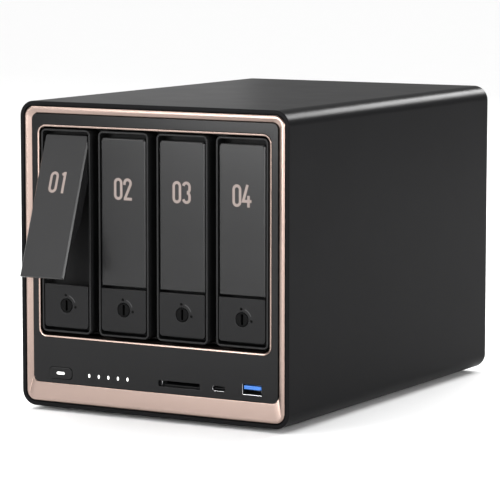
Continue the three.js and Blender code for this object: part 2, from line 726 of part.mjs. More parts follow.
function addRearPanel(parent) {
  const { front, thickness, airRadius } = REAR_PANEL;
  const rear = front + thickness;
  const plate = withHoles(shellOutline(SHELL.wall + GAP), [
    circle(0, FAN.z, airRadius, FINE_SIDES),
    circle(INLET.x, ON_BOARD + INLET.z, INLET.window),
    circle(RESET.x, RESET.z, RESET.hole),
    windowAt(CABLE_SLOT.x, CABLE_SLOT.z, CABLE_SLOT.width, CABLE_SLOT.height, CABLE_SLOT.radius),
  ]);
  const windows = SOCKETS.map(({ x, width, height }) =>
    blockAt(x, width + 2 * GAP, front - BEYOND, rear + BEYOND, ON_BOARD - GAP, ON_BOARD + height + GAP),
  );
  addPiece(parent, "rear_panel", "paintedSteel", cut(alongY(plate, front, rear), ...windows));
}

function addRearSockets(parent) {
  for (const { name, x, width, height, holes, depth } of SOCKETS) {
    const body = blockAt(x, width, PORT_FRONT, PORT_REAR, ON_BOARD, ON_BOARD + height);
    const spaces = holes.map(([wide, high, z]) => {
      const low = ON_BOARD + z - high / 2;
      return blockAt(x, wide, PORT_REAR - depth, PORT_REAR + BEYOND, low, low + high);
    });
    addPiece(parent, name, "steel", cut(body, ...spaces));
  }

  const boreZ = ON_BOARD + INLET.z;
  const inletRear = REAR_PANEL.front - GAP;
  const nose = rodAlongY(INLET.x, boreZ, INLET.nose, inletRear - OVERLAP, PORT_REAR);
  const body = blockAt(INLET.x, INLET.width, PORT_FRONT, inletRear, ON_BOARD, ON_BOARD + INLET.height);
  const bore = rodAlongY(INLET.x, boreZ, INLET.bore, PORT_REAR - INLET.depth, PORT_REAR + BEYOND);
  addPiece(parent, "dc_inlet", "blackPlastic", cut(join(body, nose), bore));

  const { x, z, radius, length, rear } = RESET;
  addPiece(parent, "reset_button", "blackPlastic", rodAlongY(x, z, radius, rear - length, rear, FEW_SIDES));
}

const FAN_REAR = REAR_PANEL.front - GAP;
const FAN_FRONT = FAN_REAR - FAN.depth;

// The fan's frame carries a motor mount on four spokes at its front face.
function addFan(parent) {
  const half = FAN.size / 2;
  const away = FAN.holePitch / 2;
  const through = [FAN_FRONT - BEYOND, FAN_REAR + BEYOND];
  const corners = [-1, 1].flatMap((u) => [-1, 1].map((v) => [u * away, FAN.z + v * away]));
  const holes = corners.map(([x, z]) => rodAlongY(x, z, FAN.holeRadius, ...through, FEW_SIDES));
  const face = roundedRect(-half, half, FAN.z - half, FAN.z + half, FAN.radius);
  const square = alongY(face, FAN_FRONT, FAN_REAR);
  const bore = rodAlongY(0, FAN.z, FAN.bore, ...through, FINE_SIDES);
  const spokeRear = FAN_FRONT + FAN.spokeDepth;
  const spokeHalf = FAN.spokeWidth / 2;
  const reach = FAN.bore + 1;
  const spokes = [
    block(-reach, reach, FAN_FRONT, spokeRear, FAN.z - spokeHalf, FAN.z + spokeHalf),
    block(-spokeHalf, spokeHalf, FAN_FRONT, spokeRear, FAN.z - reach, FAN.z + reach),
  ];
  const mount = rodAlongY(0, FAN.z, ROTOR.hub - 2, FAN_FRONT, spokeRear);
  addPiece(parent, "fan_frame", "blackPlastic", join(cut(square, bore, ...holes), mount, ...spokes));
}

// The rotor in the fan axis's frame: a hub and blades pitched about their own length.
function addRotor(parent) {
  const group = addGroup(parent, 0, FAN_FRONT + ROTOR_CLEARANCE + ROTOR.depth / 2, FAN.z);
  const hub = rodAlongY(0, 0, ROTOR.hub, -ROTOR.depth / 2, ROTOR.depth / 2);
  const chord = ROTOR.chord / 2;
  const thick = ROTOR.thickness / 2;
  const blades = Array.from({ length: ROTOR.blades }, (_, i) => {
    const blade = block(-chord, chord, -thick, thick, ROTOR.root, ROTOR.tip);
    blade.rotateZ(THREE.MathUtils.degToRad(ROTOR.pitch));
    return blade.rotateY((i * 2 * Math.PI) / ROTOR.blades);
  });
  addPiece(group, "fan_rotor", "blackPlastic", join(hub, ...blades));
}

// The dust filter: a flat square cover that lifts off the rear, with rows of air slots.
function addFilter(parent) {
  const half = FILTER.size / 2;
  const front = REAR_PANEL.front + REAR_PANEL.thickness + GAP;
  const rear = front + FILTER.thickness;
  const plate = roundedRect(-half, half, FAN.z - half, FAN.z + half, FILTER.radius, 4);
  const { columns, pitch, width, rows, rowPitch, halfLength } = FILTER_SLOT;
  const slots = rowOf(columns, pitch).flatMap((x) =>
    rowOf(rows, rowPitch).map((offset) => {
      const middle = FAN.z + offset;
      return blockAt(x, width, front - BEYOND, rear + BEYOND, middle - halfLength, middle + halfLength);
    }),
  );
  addPiece(parent, "filter_cover", "blackPlastic", cut(alongY(plate, front, rear), ...slots));
}

// ---------------------------------------------------------------------------------------------
// Assembly
// ---------------------------------------------------------------------------------------------

const nas = new THREE.Group();
addShell(nas);
addFeet(nas);
addFrontFace(nas);
addPowerButton(nas);
addLightGuide(nas);
addFrontSockets(nas);
const levers = TRAY_X.map((x, i) => addTray(nas, i + 1, x));
levers[0].rotation.x = -OPEN_ANGLE;
addCage(nas);
addBackplane(nas);
addMainboard(nas);
addMemory(nas);
addRearPanel(nas);
addRearSockets(nas);
addFan(nas);
addRotor(nas);
addFilter(nas);

// The open lever's lower front edge is the foremost point, so half its reach centres the box.
const tipY = (TRAY_FACE - PIVOT.y) * Math.cos(OPEN_ANGLE) + (LEVER.bottom - PIVOT.z) * Math.sin(OPEN_ANGLE);
const leverReach = FRONT - (PIVOT.y + tipY);
nas.position.set(0, leverReach / 2, FOOT.height);

export default nas;
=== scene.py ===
"""Looks for the four-bay network storage enclosure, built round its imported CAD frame.

Lengths in the shape code are millimetres in the shell's own frame: x from the shell's middle, y
from its front rim towards the back, and z from its underside. Build.piece() turns them into metres.
"""

import json
import math

import bmesh
import bpy
from mathutils import Matrix, Vector
from mathutils.geometry import tessellate_polygon


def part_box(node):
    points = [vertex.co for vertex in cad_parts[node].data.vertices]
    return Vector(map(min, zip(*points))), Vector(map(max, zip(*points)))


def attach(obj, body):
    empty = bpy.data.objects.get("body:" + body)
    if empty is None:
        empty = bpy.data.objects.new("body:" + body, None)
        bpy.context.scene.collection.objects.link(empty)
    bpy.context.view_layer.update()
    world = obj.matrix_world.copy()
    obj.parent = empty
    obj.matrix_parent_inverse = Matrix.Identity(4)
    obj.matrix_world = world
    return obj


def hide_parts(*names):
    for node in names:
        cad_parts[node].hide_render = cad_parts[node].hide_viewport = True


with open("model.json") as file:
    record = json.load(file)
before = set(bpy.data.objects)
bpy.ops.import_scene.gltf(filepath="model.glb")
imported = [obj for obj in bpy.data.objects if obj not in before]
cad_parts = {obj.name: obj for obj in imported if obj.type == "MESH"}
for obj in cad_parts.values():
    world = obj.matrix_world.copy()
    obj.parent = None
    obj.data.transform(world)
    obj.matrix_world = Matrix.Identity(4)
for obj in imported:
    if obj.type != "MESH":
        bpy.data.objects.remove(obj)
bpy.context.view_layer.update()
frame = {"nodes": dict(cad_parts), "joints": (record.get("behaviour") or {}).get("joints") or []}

MM = 0.001
SHELL_LOW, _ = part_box("outer_shell")
JOINTS = {joint["name"]: joint for joint in frame["joints"]}


def to_row(x, y, z):
    """A point of the shell's frame, in millimetres, as a point of the row frame, in metres."""
    return Vector((x * MM, SHELL_LOW.y + y * MM, SHELL_LOW.z + z * MM))


def to_shell(point):
    """A point of the row frame, in metres, as a point of the shell's frame, in millimetres."""
    return (Vector(point) - to_row(0, 0, 0)) / MM


def span(node):
    """A CAD node's extents in the shell's frame: left, right, front, rear, low, high."""
    a, b = (to_shell(corner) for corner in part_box(node))
    return a.x, b.x, a.y, b.y, a.z, b.z


def middle(node):
    """The middle of a CAD node in x and z."""
    x0, x1, _, _, z0, z1 = span(node)
    return (x0 + x1) / 2, (z0 + z1) / 2


# ---------- Outlines ----------


def arc(u, v, radius, start, end, steps):
    """Points along an arc, both ends included; angles are in degrees."""
    points = []
    for i in range(steps + 1):
        angle = math.radians(start + (end - start) * i / steps)
        points.append((u + radius * math.cos(angle), v + radius * math.sin(angle)))
    return points


def rounded(left, right, low, high, radius, radius_high=None, steps=6):
    """An anticlockwise rounded rectangle; the two high corners may have a radius of their own."""
    top = radius if radius_high is None else radius_high
    return (
        arc(left + radius, low + radius, radius, 180, 270, steps)
        + arc(right - radius, low + radius, radius, 270, 360, steps)
        + arc(right - top, high - top, top, 0, 90, steps)
        + arc(left + top, high - top, top, 90, 180, steps)
    )


def centred(u, v, width, height, radius, steps=6):
    """A rounded rectangle about a point."""
    half_u, half_v = width / 2, height / 2
    return rounded(u - half_u, u + half_u, v - half_v, v + half_v, radius, steps=steps)


def around(box, grow, radius, steps=6):
    """A rounded rectangle round the front view of a span, grown or, below zero, drawn in."""
    left, right, _, _, low, high = box
    return rounded(left - grow, right + grow, low - grow, high + grow, radius, steps=steps)


def circle(u, v, radius, sides=48):
    return arc(u, v, radius, 0, 360, sides)[:-1]


def shifted(points, distance):
    """A closed anticlockwise outline moved sideways, outwards where the distance is positive."""
    moved = []
    count = len(points)
    for i, (u, v) in enumerate(points):
        before = points[i - 1]
        after = points[(i + 1) % count]
        edge_a = Vector((u - before[0], v - before[1])).normalized()
        edge_b = Vector((after[0] - u, after[1] - v)).normalized()
        normal = Vector((edge_a.y + edge_b.y, -edge_a.x - edge_b.x)) / 2
        step = normal * (distance / max(normal.length_squared, 0.2))
        moved.append((u + step.x, v + step.y))
    return moved


def stroke(points, width, closed=False):
    """The outline of a line of even width along a path, as one or, for a closed path, two loops."""
    half = width / 2
    if closed:
        return shifted(points, half), shifted(points, -half)
    left, right = [], []
    for i, (u, v) in enumerate(points):
        before = points[max(i - 1, 0)]
        after = points[min(i + 1, len(points) - 1)]
        ends = [Vector((u - before[0], v - before[1])), Vector((after[0] - u, after[1] - v))]
        edges = [edge.normalized() for edge in ends if edge.length > 0]
        side = sum((Vector((edge.y, -edge.x)) for edge in edges), Vector((0, 0))) / len(edges)
        step = side * (half / max(side.length_squared, 0.25))
        right.append((u + step.x, v + step.y))
        left.append((u - step.x, v - step.y))
    return right + left[::-1], None


# ---------- Shapes and pieces ----------

AXES = {
    "x": lambda u, v, w: (w, u, v),
    "y": lambda u, v, w: (u, w, v),
    "z": lambda u, v, w: (u, v, w),
}
SMOOTH_ANGLE = math.radians(40)


class Build:
    """Collects the closed shapes of one piece, in the shell's frame, then makes its object."""

    def __init__(self):
        self.verts = []
        self.faces = []
        self.slots = []

    def add(self, verts, faces, slot=0):
        start = len(self.verts)
        self.verts += [tuple(v) for v in verts]
        self.faces += [[start + i for i in face] for face in faces]
        self.slots += [slot] * len(faces)

    def sweep(self, rings, slot=0, closed=True, others=()):
        """A skin over rings that have equal counts of points; open ends are capped.

        others lists the bands, by the number of their first ring, that take the next slot instead.
        """
        count = len(rings[0])
        start = len(self.faces)
        verts = [point for ring in rings for point in ring]
        faces = []
        last = len(rings) if closed else len(rings) - 1
        for i in range(last):
            a = i * count
            b = ((i + 1) % len(rings)) * count
            for k in range(count):
                n = (k + 1) % count
                faces.append((a + k, a + n, b + n, b + k))
        if not closed:
            faces.append(tuple(range(count)))
            faces.append(tuple((len(rings) - 1) * count + k for k in range(count)))
        self.add(verts, faces, slot)
        for band in others:
            for k in range(count):
                self.slots[start + band * count + k] = slot + 1

    def plate(self, outline, start, end, bevel=0.3, holes=(), axis="y", slot=0, steps=3):
        """A flat plate from start to end along an axis, its edges and its holes' edges rounded."""
        place = AXES[axis]
        levels = [(bevel - a, start + bevel - b) for a, b in arc(0, 0, bevel, 90, 0, steps)]
        levels += [(bevel - a, end - bevel + b) for a, b in arc(0, 0, bevel, 0, 90, steps)]
        loops = [(outline, -1)] + [(hole, 1) for hole in holes]
        verts, faces, first, last = [], [], [], []
        for points, sign in loops:
            base = len(verts)
            count = len(points)
            for inset, w in levels:
                ring = shifted(points, sign * inset)
                verts += [place(u, v, w) for u, v in ring]
            for i in range(len(levels) - 1):
                a = base + i * count
                b = a + count
                for k in range(count):
                    n = (k + 1) % count
                    faces.append((a + k, a + n, b + n, b + k))
            first.append([(base + k, shifted(points, sign * bevel)[k]) for k in range(count)])
            last.append((len(levels) - 1) * count)
        flat = [index for loop in first for index, _ in loop]
        loops_2d = [[Vector((u, v, 0)) for _, (u, v) in loop] for loop in first]
        back = [index + last[n] for n, loop in enumerate(first) for index, _ in loop]
        for triangle in tessellate_polygon(loops_2d):
            faces.append(tuple(flat[i] for i in triangle))
            faces.append(tuple(back[i] for i in reversed(triangle)))
        self.add(verts, faces, slot)

    def block(self, x0, x1, y0, y1, z0, z1, bevel=0.3, slot=0):
        """A box with rounded edges."""
        self.plate(rounded(x0, x1, z0, z1, bevel, steps=3), y0, y1, bevel, slot=slot)

    def lathe(self, profile, u, v, axis="y", sides=48, slot=0):
        """A turned solid: profile runs from the axis to the axis, as pairs of radius and place."""
        place = AXES[axis]
        inner = profile[1:-1]
        verts = [place(u, v, profile[0][1])]
        for radius, w in inner:
            verts += [place(a, b, w) for a, b in circle(u, v, radius, sides)]
        verts.append(place(u, v, profile[-1][1]))
        faces = []
        for k in range(sides):
            n = (k + 1) % sides
            faces.append((0, 1 + n, 1 + k))
            for i in range(len(inner) - 1):
                a = 1 + i * sides
                b = a + sides
                faces.append((a + k, a + n, b + n, b + k))
            end = 1 + (len(inner) - 1) * sides
            faces.append((len(verts) - 1, end + k, end + n))
        self.add(verts, faces, slot)

    def rod(self, u, v, radius, start, end, bevel=0.2, axis="y", sides=32, slot=0):
        """A cylinder with rounded ends."""
        profile = [(0, start)]
        profile += [(radius - bevel + a, start + bevel - b) for a, b in arc(0, 0, bevel, 90, 0, 3)]
        profile += [(radius - bevel + a, end - bevel + b) for a, b in arc(0, 0, bevel, 0, 90, 3)]
        self.lathe(profile + [(0, end)], u, v, axis, sides, slot)

    def turn(self, matrix):
        """Turns all that was added so far, in the shell's frame."""
        self.verts = [tuple(matrix @ Vector(v)) for v in self.verts]

    def piece(self, name, body, materials, replaces=()):
        """Makes the object, puts it on its body and hides the CAD nodes that it stands for."""
        mesh = bpy.data.meshes.new(name)
        mesh.from_pydata([to_row(*v) for v in self.verts], [], self.faces)
        for material in materials:
            mesh.materials.append(material)
        mesh.polygons.foreach_set("material_index", self.slots)
        solid = bmesh.new()
        solid.from_mesh(mesh)
        bmesh.ops.remove_doubles(solid, verts=solid.verts, dist=1e-7)
        bmesh.ops.recalc_face_normals(solid, faces=solid.faces)
        solid.to_mesh(mesh)
        solid.free()
        shade(mesh)
        obj = bpy.data.objects.new(name, mesh)
        bpy.context.scene.collection.objects.link(obj)
        weigh_normals(obj)
        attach(obj, body)
        if replaces:
            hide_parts(*replaces)
        return obj


def shade(mesh):
    """Smooth shading, broken at edges sharper than SMOOTH_ANGLE."""
    mesh.polygons.foreach_set("use_smooth", [True] * len(mesh.polygons))
    mesh.set_sharp_from_angle(angle=SMOOTH_ANGLE)


def weigh_normals(obj):
    """Lets large flat faces keep their own normals next to small bevels."""
    modifier = obj.modifiers.new("weighted_normals", "WEIGHTED_NORMAL")
    modifier.weight = 100
    modifier.keep_sharp = True


def ring_at(outline, y):
    return [(x, y, z) for x, z in outline]


# ---------- Materials ----------


class Material:
    """A principled material that can vary in roughness, colour and surface."""

    def __init__(self, name, colour, metallic=0.0, roughness=0.5, **sockets):
        self.material = bpy.data.materials.new(name)
        self.material.use_nodes = True
        self.tree = self.material.node_tree
        self.shader = self.tree.nodes["Principled BSDF"]
        self.shader.inputs["Base Color"].default_value = (*colour, 1)
        self.shader.inputs["Metallic"].default_value = metallic
        self.shader.inputs["Roughness"].default_value = roughness
        for socket, value in sockets.items():
            self.shader.inputs[socket.replace("_", " ")].default_value = value
        self.colour = colour
        self.roughness = roughness
        self.coordinates = self.tree.nodes.new("ShaderNodeTexCoord")

    def noise(self, scale, detail=3.0, stretch=(1, 1, 1)):
        """A noise texture in object space; scale is in cells for each metre."""
        mapping = self.tree.nodes.new("ShaderNodeMapping")
        mapping.inputs["Scale"].default_value = stretch
        texture = self.tree.nodes.new("ShaderNodeTexNoise")
        texture.inputs["Scale"].default_value = scale
        texture.inputs["Detail"].default_value = detail
        self.tree.links.new(self.coordinates.outputs["Object"], mapping.inputs["Vector"])
        self.tree.links.new(mapping.outputs["Vector"], texture.inputs["Vector"])
        return texture.outputs["Fac"]

    def spread(self, value, low, high):
        """Stretches the middle range of a noise over the values from low to high."""
        node = self.tree.nodes.new("ShaderNodeMapRange")
        node.inputs["From Min"].default_value = 0.3
        node.inputs["From Max"].default_value = 0.7
        node.inputs["To Min"].default_value = low
        node.inputs["To Max"].default_value = high
        self.tree.links.new(value, node.inputs["Value"])
        return node.outputs["Result"]

    def vary_roughness(self, scale, amount):
        low, high = self.roughness - amount, self.roughness + amount
        varied = self.spread(self.noise(scale), low, high)
        self.tree.links.new(varied, self.shader.inputs["Roughness"])

    def vary_colour(self, scale, amount):
        mix = self.tree.nodes.new("ShaderNodeMix")
        mix.data_type = "RGBA"
        factor, dark, light = mix.inputs[0], mix.inputs[6], mix.inputs[7]
        dark.default_value = (*[c * (1 - amount) for c in self.colour], 1)
        light.default_value = (*[min(c * (1 + amount), 1) for c in self.colour], 1)
        self.tree.links.new(self.spread(self.noise(scale), 0, 1), factor)
        self.tree.links.new(mix.outputs[2], self.shader.inputs["Base Color"])

    def grain(self, scale, depth, strength, stretch=(1, 1, 1)):
        """A bump of the given depth in millimetres."""
        bump = self.tree.nodes.new("ShaderNodeBump")
        bump.inputs["Distance"].default_value = depth * MM
        bump.inputs["Strength"].default_value = strength
        self.tree.links.new(self.noise(scale, 2.0, stretch), bump.inputs["Height"])
        self.tree.links.new(bump.outputs["Normal"], self.shader.inputs["Normal"])


def finish(name, colour, metallic, roughness, uneven, tint=None, bump=None, **sockets):
    """Makes a material.

    uneven, tint and bump say how its roughness, colour and surface vary: a scale, then an amount.
    Other arguments are sockets of the shader, with _ for a space.
    """
    made = Material(name, colour, metallic, roughness, **sockets)
    made.vary_roughness(*uneven)
    if tint:
        made.vary_colour(*tint)
    if bump:
        made.grain(*bump)
    return made.material


SHELL_METAL = finish(
    "shell_anodised", (0.0065, 0.0065, 0.0069), 0.0, 0.31,
    (45, 0.01), (30, 0.05), (2600, 0.006, 0.3), Specular_IOR_Level=0.013,
)
ROSE_GOLD = finish("rose_gold", (0.28, 0.21, 0.182), 1.0, 0.25, (12, 0.006), (8, 0.008))
PANEL_PLASTIC = finish(
    "panel_gunmetal", (0.0035, 0.0035, 0.0038), 0.0, 0.22,
    (50, 0.004), (40, 0.08), (3200, 0.003, 0.25), Specular_IOR_Level=0.16,
)
LEVER_PAINT = finish(
    "lever_paint", (0.008, 0.008, 0.0083), 0.0, 0.25,
    (55, 0.004), (50, 0.06), (3600, 0.004, 0.25), Specular_IOR_Level=0.19,
)
RELEASE_PAINT = finish(
    "release_paint", (0.005, 0.005, 0.0053), 0.0, 0.32,
    (55, 0.005), (50, 0.06), (3600, 0.004, 0.25), Specular_IOR_Level=0.12,
)
TRAY_PLASTIC = finish(
    "tray_plastic", (0.007, 0.007, 0.0073), 0.0, 0.42,
    (60, 0.04), (40, 0.1), (2200, 0.01, 0.3), Specular_IOR_Level=0.14,
)
BLACK_PLASTIC = finish(
    "black_plastic", (0.004, 0.004, 0.0042), 0.0, 0.5,
    (60, 0.06), (40, 0.12), (1800, 0.025, 0.45), Specular_IOR_Level=0.1,
)
MESH_PAINT = finish(
    "filter_mesh", (0.014, 0.014, 0.015), 0.3, 0.45, (80, 0.05), (60, 0.1), (2400, 0.015, 0.4)
)
POWDER_COAT = finish(
    "powder_coat", (0.018, 0.018, 0.019), 0.0, 0.55, (70, 0.05), (40, 0.08), (1500, 0.04, 0.6)
)
PLATED_STEEL = finish(
    "plated_steel", (0.66, 0.66, 0.67), 1.0, 0.28,
    (90, 0.06), (60, 0.05), (900, 0.004, 0.3, (1, 8, 1)),
)
LOCK_METAL = finish(
    "lock_metal", (0.002, 0.002, 0.0021), 0.0, 0.5,
    (200, 0.06), (90, 0.08), (2500, 0.008, 0.3), Specular_IOR_Level=0.04,
)
# Near-black: the printed marks on the release buttons, and painted shade for the screw heads' cross
# recesses.
DARK_PRINT_AND_SHADE = finish(
    "dark_print_and_shade", (0.001, 0.001, 0.001), 0.0, 0.7,
    (300, 0.05), (200, 0.1), (3000, 0.004, 0.3), Specular_IOR_Level=0.02,
)
DIGIT_INK = finish(
    "digit_ink", (0.2, 0.16, 0.145), 0.0, 0.45,
    (300, 0.05), (120, 0.05), (3500, 0.004, 0.3), Specular_IOR_Level=0.2,
)
LIT_LENS = finish(
    "lit_lens", (0.85, 0.85, 0.83), 0.0, 0.25,
    (400, 0.05), None, (2500, 0.004, 0.2),
    Emission_Color=(1.0, 0.99, 0.96, 1), Emission_Strength=1.2,
)
BLUE_PLASTIC = finish(
    "blue_plastic", (0.02, 0.13, 0.45), 0.0, 0.35, (300, 0.05), (150, 0.06), (2500, 0.006, 0.3)
)
GOLD_CONTACTS = finish(
    "gold_contacts", (0.85, 0.62, 0.26), 1.0, 0.25, (400, 0.05), (200, 0.06), (3000, 0.003, 0.3)
)
FOOT_RUBBER = finish(
    "foot_rubber", (0.014, 0.014, 0.014), 0.0, 0.8, (90, 0.06), (70, 0.12), (1600, 0.03, 0.6)
)
BOARD_MASK = finish(
    "board_mask", (0.010, 0.055, 0.028), 0.0, 0.35, (150, 0.06), (220, 0.2), (700, 0.02, 0.4)
)
BARE_ALUMINIUM = finish(
    "bare_aluminium", (0.62, 0.62, 0.63), 1.0, 0.32,
    (120, 0.06), (60, 0.04), (700, 0.006, 0.4, (1, 10, 1)),
)
FLOOR_PAINT = finish("floor_paint", (0.86, 0.86, 0.86), 0.0, 0.7, (20, 0.05))

# ---------- Camera, lights and floor ----------

# The camera that puts the shell's corners where the photo has them.
CAMERA_AT = (849.5, -1375.55, 287.5)  # millimetres in the shell's frame
CAMERA_AZIMUTH = 29.72  # degrees from the front, towards the right side
CAMERA_ELEVATION = 6.76  # degrees above level
CAMERA_LENS = 206.74  # millimetres, on a 36 mm sensor


def add_camera():
    data = bpy.data.cameras.new("camera")
    data.lens = CAMERA_LENS
    data.sensor_width = 36
    data.clip_start = 0.01
    data.clip_end = 100
    camera = bpy.data.objects.new("camera", data)
    bpy.context.scene.collection.objects.link(camera)
    azimuth = math.radians(CAMERA_AZIMUTH)
    elevation = math.radians(CAMERA_ELEVATION)
    back = Vector(
        (
            math.sin(azimuth) * math.cos(elevation),
            -math.cos(azimuth) * math.cos(elevation),
            math.sin(elevation),
        )
    )
    camera.location = to_row(*CAMERA_AT)
    camera.rotation_mode = "QUATERNION"
    camera.rotation_quaternion = (-back).to_track_quat("-Z", "Y")
    bpy.context.scene.camera = camera


def add_softbox(name, location, target, size, power, spread=180):
    """An area light; places are in metres in the row frame, size is width and height."""
    data = bpy.data.lights.new(name, "AREA")
    data.spread = math.radians(spread)
    data.shape = "RECTANGLE"
    data.size, data.size_y = size
    data.energy = power
    light = bpy.data.objects.new(name, data)
    bpy.context.scene.collection.objects.link(light)
    light.location = location
    light.rotation_mode = "QUATERNION"
    aim = Vector(target) - Vector(location)
    light.rotation_quaternion = aim.to_track_quat("-Z", "Y")
    light.visible_camera = False


def add_studio():
    world = bpy.data.worlds.new("studio")
    bpy.context.scene.world = world
    world.use_nodes = True
    world.node_tree.nodes["Background"].inputs["Color"].default_value = (1, 1, 1, 1)
    world.node_tree.nodes["Background"].inputs["Strength"].default_value = 0.4
    bpy.context.scene.view_settings.view_transform = "Standard"

    overhead = bpy.data.lights.new("overhead", "SUN")
    overhead.energy = 2.55
    overhead.angle = math.radians(40)
    sun = bpy.data.objects.new("overhead", overhead)
    bpy.context.scene.collection.objects.link(sun)
    sun.rotation_mode = "QUATERNION"
    sun.rotation_quaternion = Vector((0.3, -0.6, -1)).to_track_quat("-Z", "Y")

    centre = (0, 0, 0.09)
    # The front and side boxes shade the levers and the panel, and the back ones light the top.
    add_softbox("front", (0.14, -1.05, 0.22), (0, -0.12, 0.1), (0.35, 0.4), 2.6)
    add_softbox("low_left", (-0.36, -1.0, 0.25), (0, -0.12, 0.1), (0.3, 0.3), 5.0)
    add_softbox("high_left", (-0.75, -0.3, 1.25), centre, (0.9, 0.9), 5, 100)
    add_softbox("right", (2.0, -1.12, 0.5), centre, (0.6, 0.98), 40)
    add_softbox("front_left", (-0.8, -1.3, 0.82), centre, (0.7, 0.5), 3.7)
    add_softbox("back", (0.42, 1.75, 0.98), centre, (0.8, 0.3), 41)
    add_softbox("back_left", (-1.2, 1.6, 0.35), centre, (0.5, 0.3), 0.3)

    floor_mesh = bpy.data.meshes.new("floor")
    reach = 12
    corners = [(-reach, -reach, 0), (reach, -reach, 0), (reach, reach, 0), (-reach, reach, 0)]
    floor_mesh.from_pydata(corners, [], [(0, 1, 2, 3)])
    floor_mesh.materials.append(FLOOR_PAINT)
    floor = bpy.data.objects.new("floor", floor_mesh)
    bpy.context.scene.collection.objects.link(floor)


# ---------- Shell, hatch and feet ----------

SHELL_RADIUS = 9
SHELL_WALL = 2.4
INSIDE_RADIUS = SHELL_RADIUS - SHELL_WALL - 0.3  # corners of what fits inside the sleeve
ROOT = "enclosure"


def cut_away(obj, cutter):
    """Takes the cutter's shape out of the object's mesh for good, then drops the cutter."""
    modifier = obj.modifiers.new("cut", "BOOLEAN")
    modifier.object = cutter
    modifier.solver = "EXACT"
    while obj.modifiers[0] != modifier:
        obj.modifiers.move(len(obj.modifiers) - 1, 0)
    others = [m for m in obj.modifiers if m != modifier]
    for other in others:
        other.show_viewport = False
    bpy.context.view_layer.update()
    graph = bpy.context.evaluated_depsgraph_get()
    mesh = bpy.data.meshes.new_from_object(obj.evaluated_get(graph))
    for other in others:
        other.show_viewport = True
    obj.modifiers.remove(modifier)
    obj.data = mesh
    shade(mesh)
    bpy.data.objects.remove(cutter)


def add_shell():
    box = span("outer_shell")
    front, rear = box[2:4]

    def ring(inset, y):
        return ring_at(around(box, -inset, SHELL_RADIUS - inset, 14), y)

    front_edge, inner_edge, rear_edge = 0.55, 0.3, 1.4  # radii of the sleeve's rims
    profile = arc(front_edge, front + front_edge, front_edge, 180, 270, 3)
    profile += arc(SHELL_WALL - inner_edge, front + inner_edge, inner_edge, 270, 360, 2)
    profile += arc(SHELL_WALL - inner_edge, rear - inner_edge, inner_edge, 0, 90, 2)
    profile += arc(rear_edge, rear - rear_edge, rear_edge, 90, 180, 4)
    sleeve = Build()
    sleeve.sweep([ring(inset, y) for inset, y in profile])
    shell = sleeve.piece("shell_skin", ROOT, [SHELL_METAL], ["outer_shell"])

    x0, x1, y0, y1, z0, z1 = span("memory_cover")
    corner, gap, screw_inset = 3, 0.3, 6
    tool = Build()
    outline = rounded(x0 - gap, x1 + gap, y0 - gap, y1 + gap, corner)
    tool.plate(outline, -5, 5, 0.05, axis="z")  # right through the underside
    cut_away(shell, tool.piece("hatch_cutter", ROOT, [SHELL_METAL]))

    hatch = Build()
    slot_width, slot_length, slot_pitch = 3, 34, 6
    slots = [
        centred(x, (y0 + y1) / 2, slot_width, slot_length, slot_width / 2, 4)
        for x in range(-27, 28, slot_pitch)
    ]
    hatch.plate(rounded(x0, x1, y0, y1, corner), z0, z1, 0.25, slots, "z")
    for x in (x0 + screw_inset, x1 - screw_inset):
        for y in (y0 + screw_inset, y1 - screw_inset):
            add_screw_head(hatch, x, y, z0, -1, "z", 2.6, 1)
    looks = [SHELL_METAL, PLATED_STEEL, DARK_PRINT_AND_SHADE]
    hatch.piece("memory_hatch", ROOT, looks, ["memory_cover"])


def add_screw_head(build, u, v, seat, way, axis, radius, slot):
    """A pan head and, in the next slot, its cross: a flat dark sheet on the head, painted shade
    where the cross recess would be; way is the side it stands on, 1 or -1.
    """
    buried = seat - way * 0.5
    top = seat + way * radius * 0.35
    profile = [(0, buried), (radius, buried), (radius, seat + way * radius * 0.08)]
    profile += [(radius * 0.85, seat + way * radius * 0.26), (radius * 0.55, top), (0, top)]
    build.lathe(profile, u, v, axis, 24, slot)
    arm, half = radius * 0.55, radius * 0.12
    start, end = sorted((top - way * 0.02, top + way * 0.02))
    # The cross is painted shade: a flat dark sheet laid on the head, not a recess cut into it.
    for wide, tall in ((arm, half), (half, arm)):
        cross = centred(u, v, 2 * wide, 2 * tall, half * 0.6, 2)
        build.plate(cross, start, end, 0.01, axis=axis, slot=slot + 1)


def add_feet():
    edge = 1
    for number in range(1, 5):
        x0, x1, y0, y1, z0, z1 = span(f"foot_{number}")
        radius = (x1 - x0) / 2
        u, v = (x0 + x1) / 2, (y0 + y1) / 2
        foot = Build()
        # A shallow groove runs round the underside.
        profile = [(0, z0), (radius - 3.2, z0), (radius - 2.8, z0 + 0.4), (radius - 2.4, z0)]
        profile += [(radius - edge + a, z0 + edge - b) for a, b in arc(0, 0, edge, 90, 0, 4)]
        profile += [(radius, z1), (0, z1)]
        foot.lathe(profile, u, v, "z", 48)
        foot.piece(f"foot_pad_{number}", ROOT, [FOOT_RUBBER], [f"foot_{number}"])


# ---------- Front: bezel, panel, trim ring ----------

OPENING_RADIUS = 3.7
BAY_RADIUS = 5.3
TRIM_WIDTH = 1.35


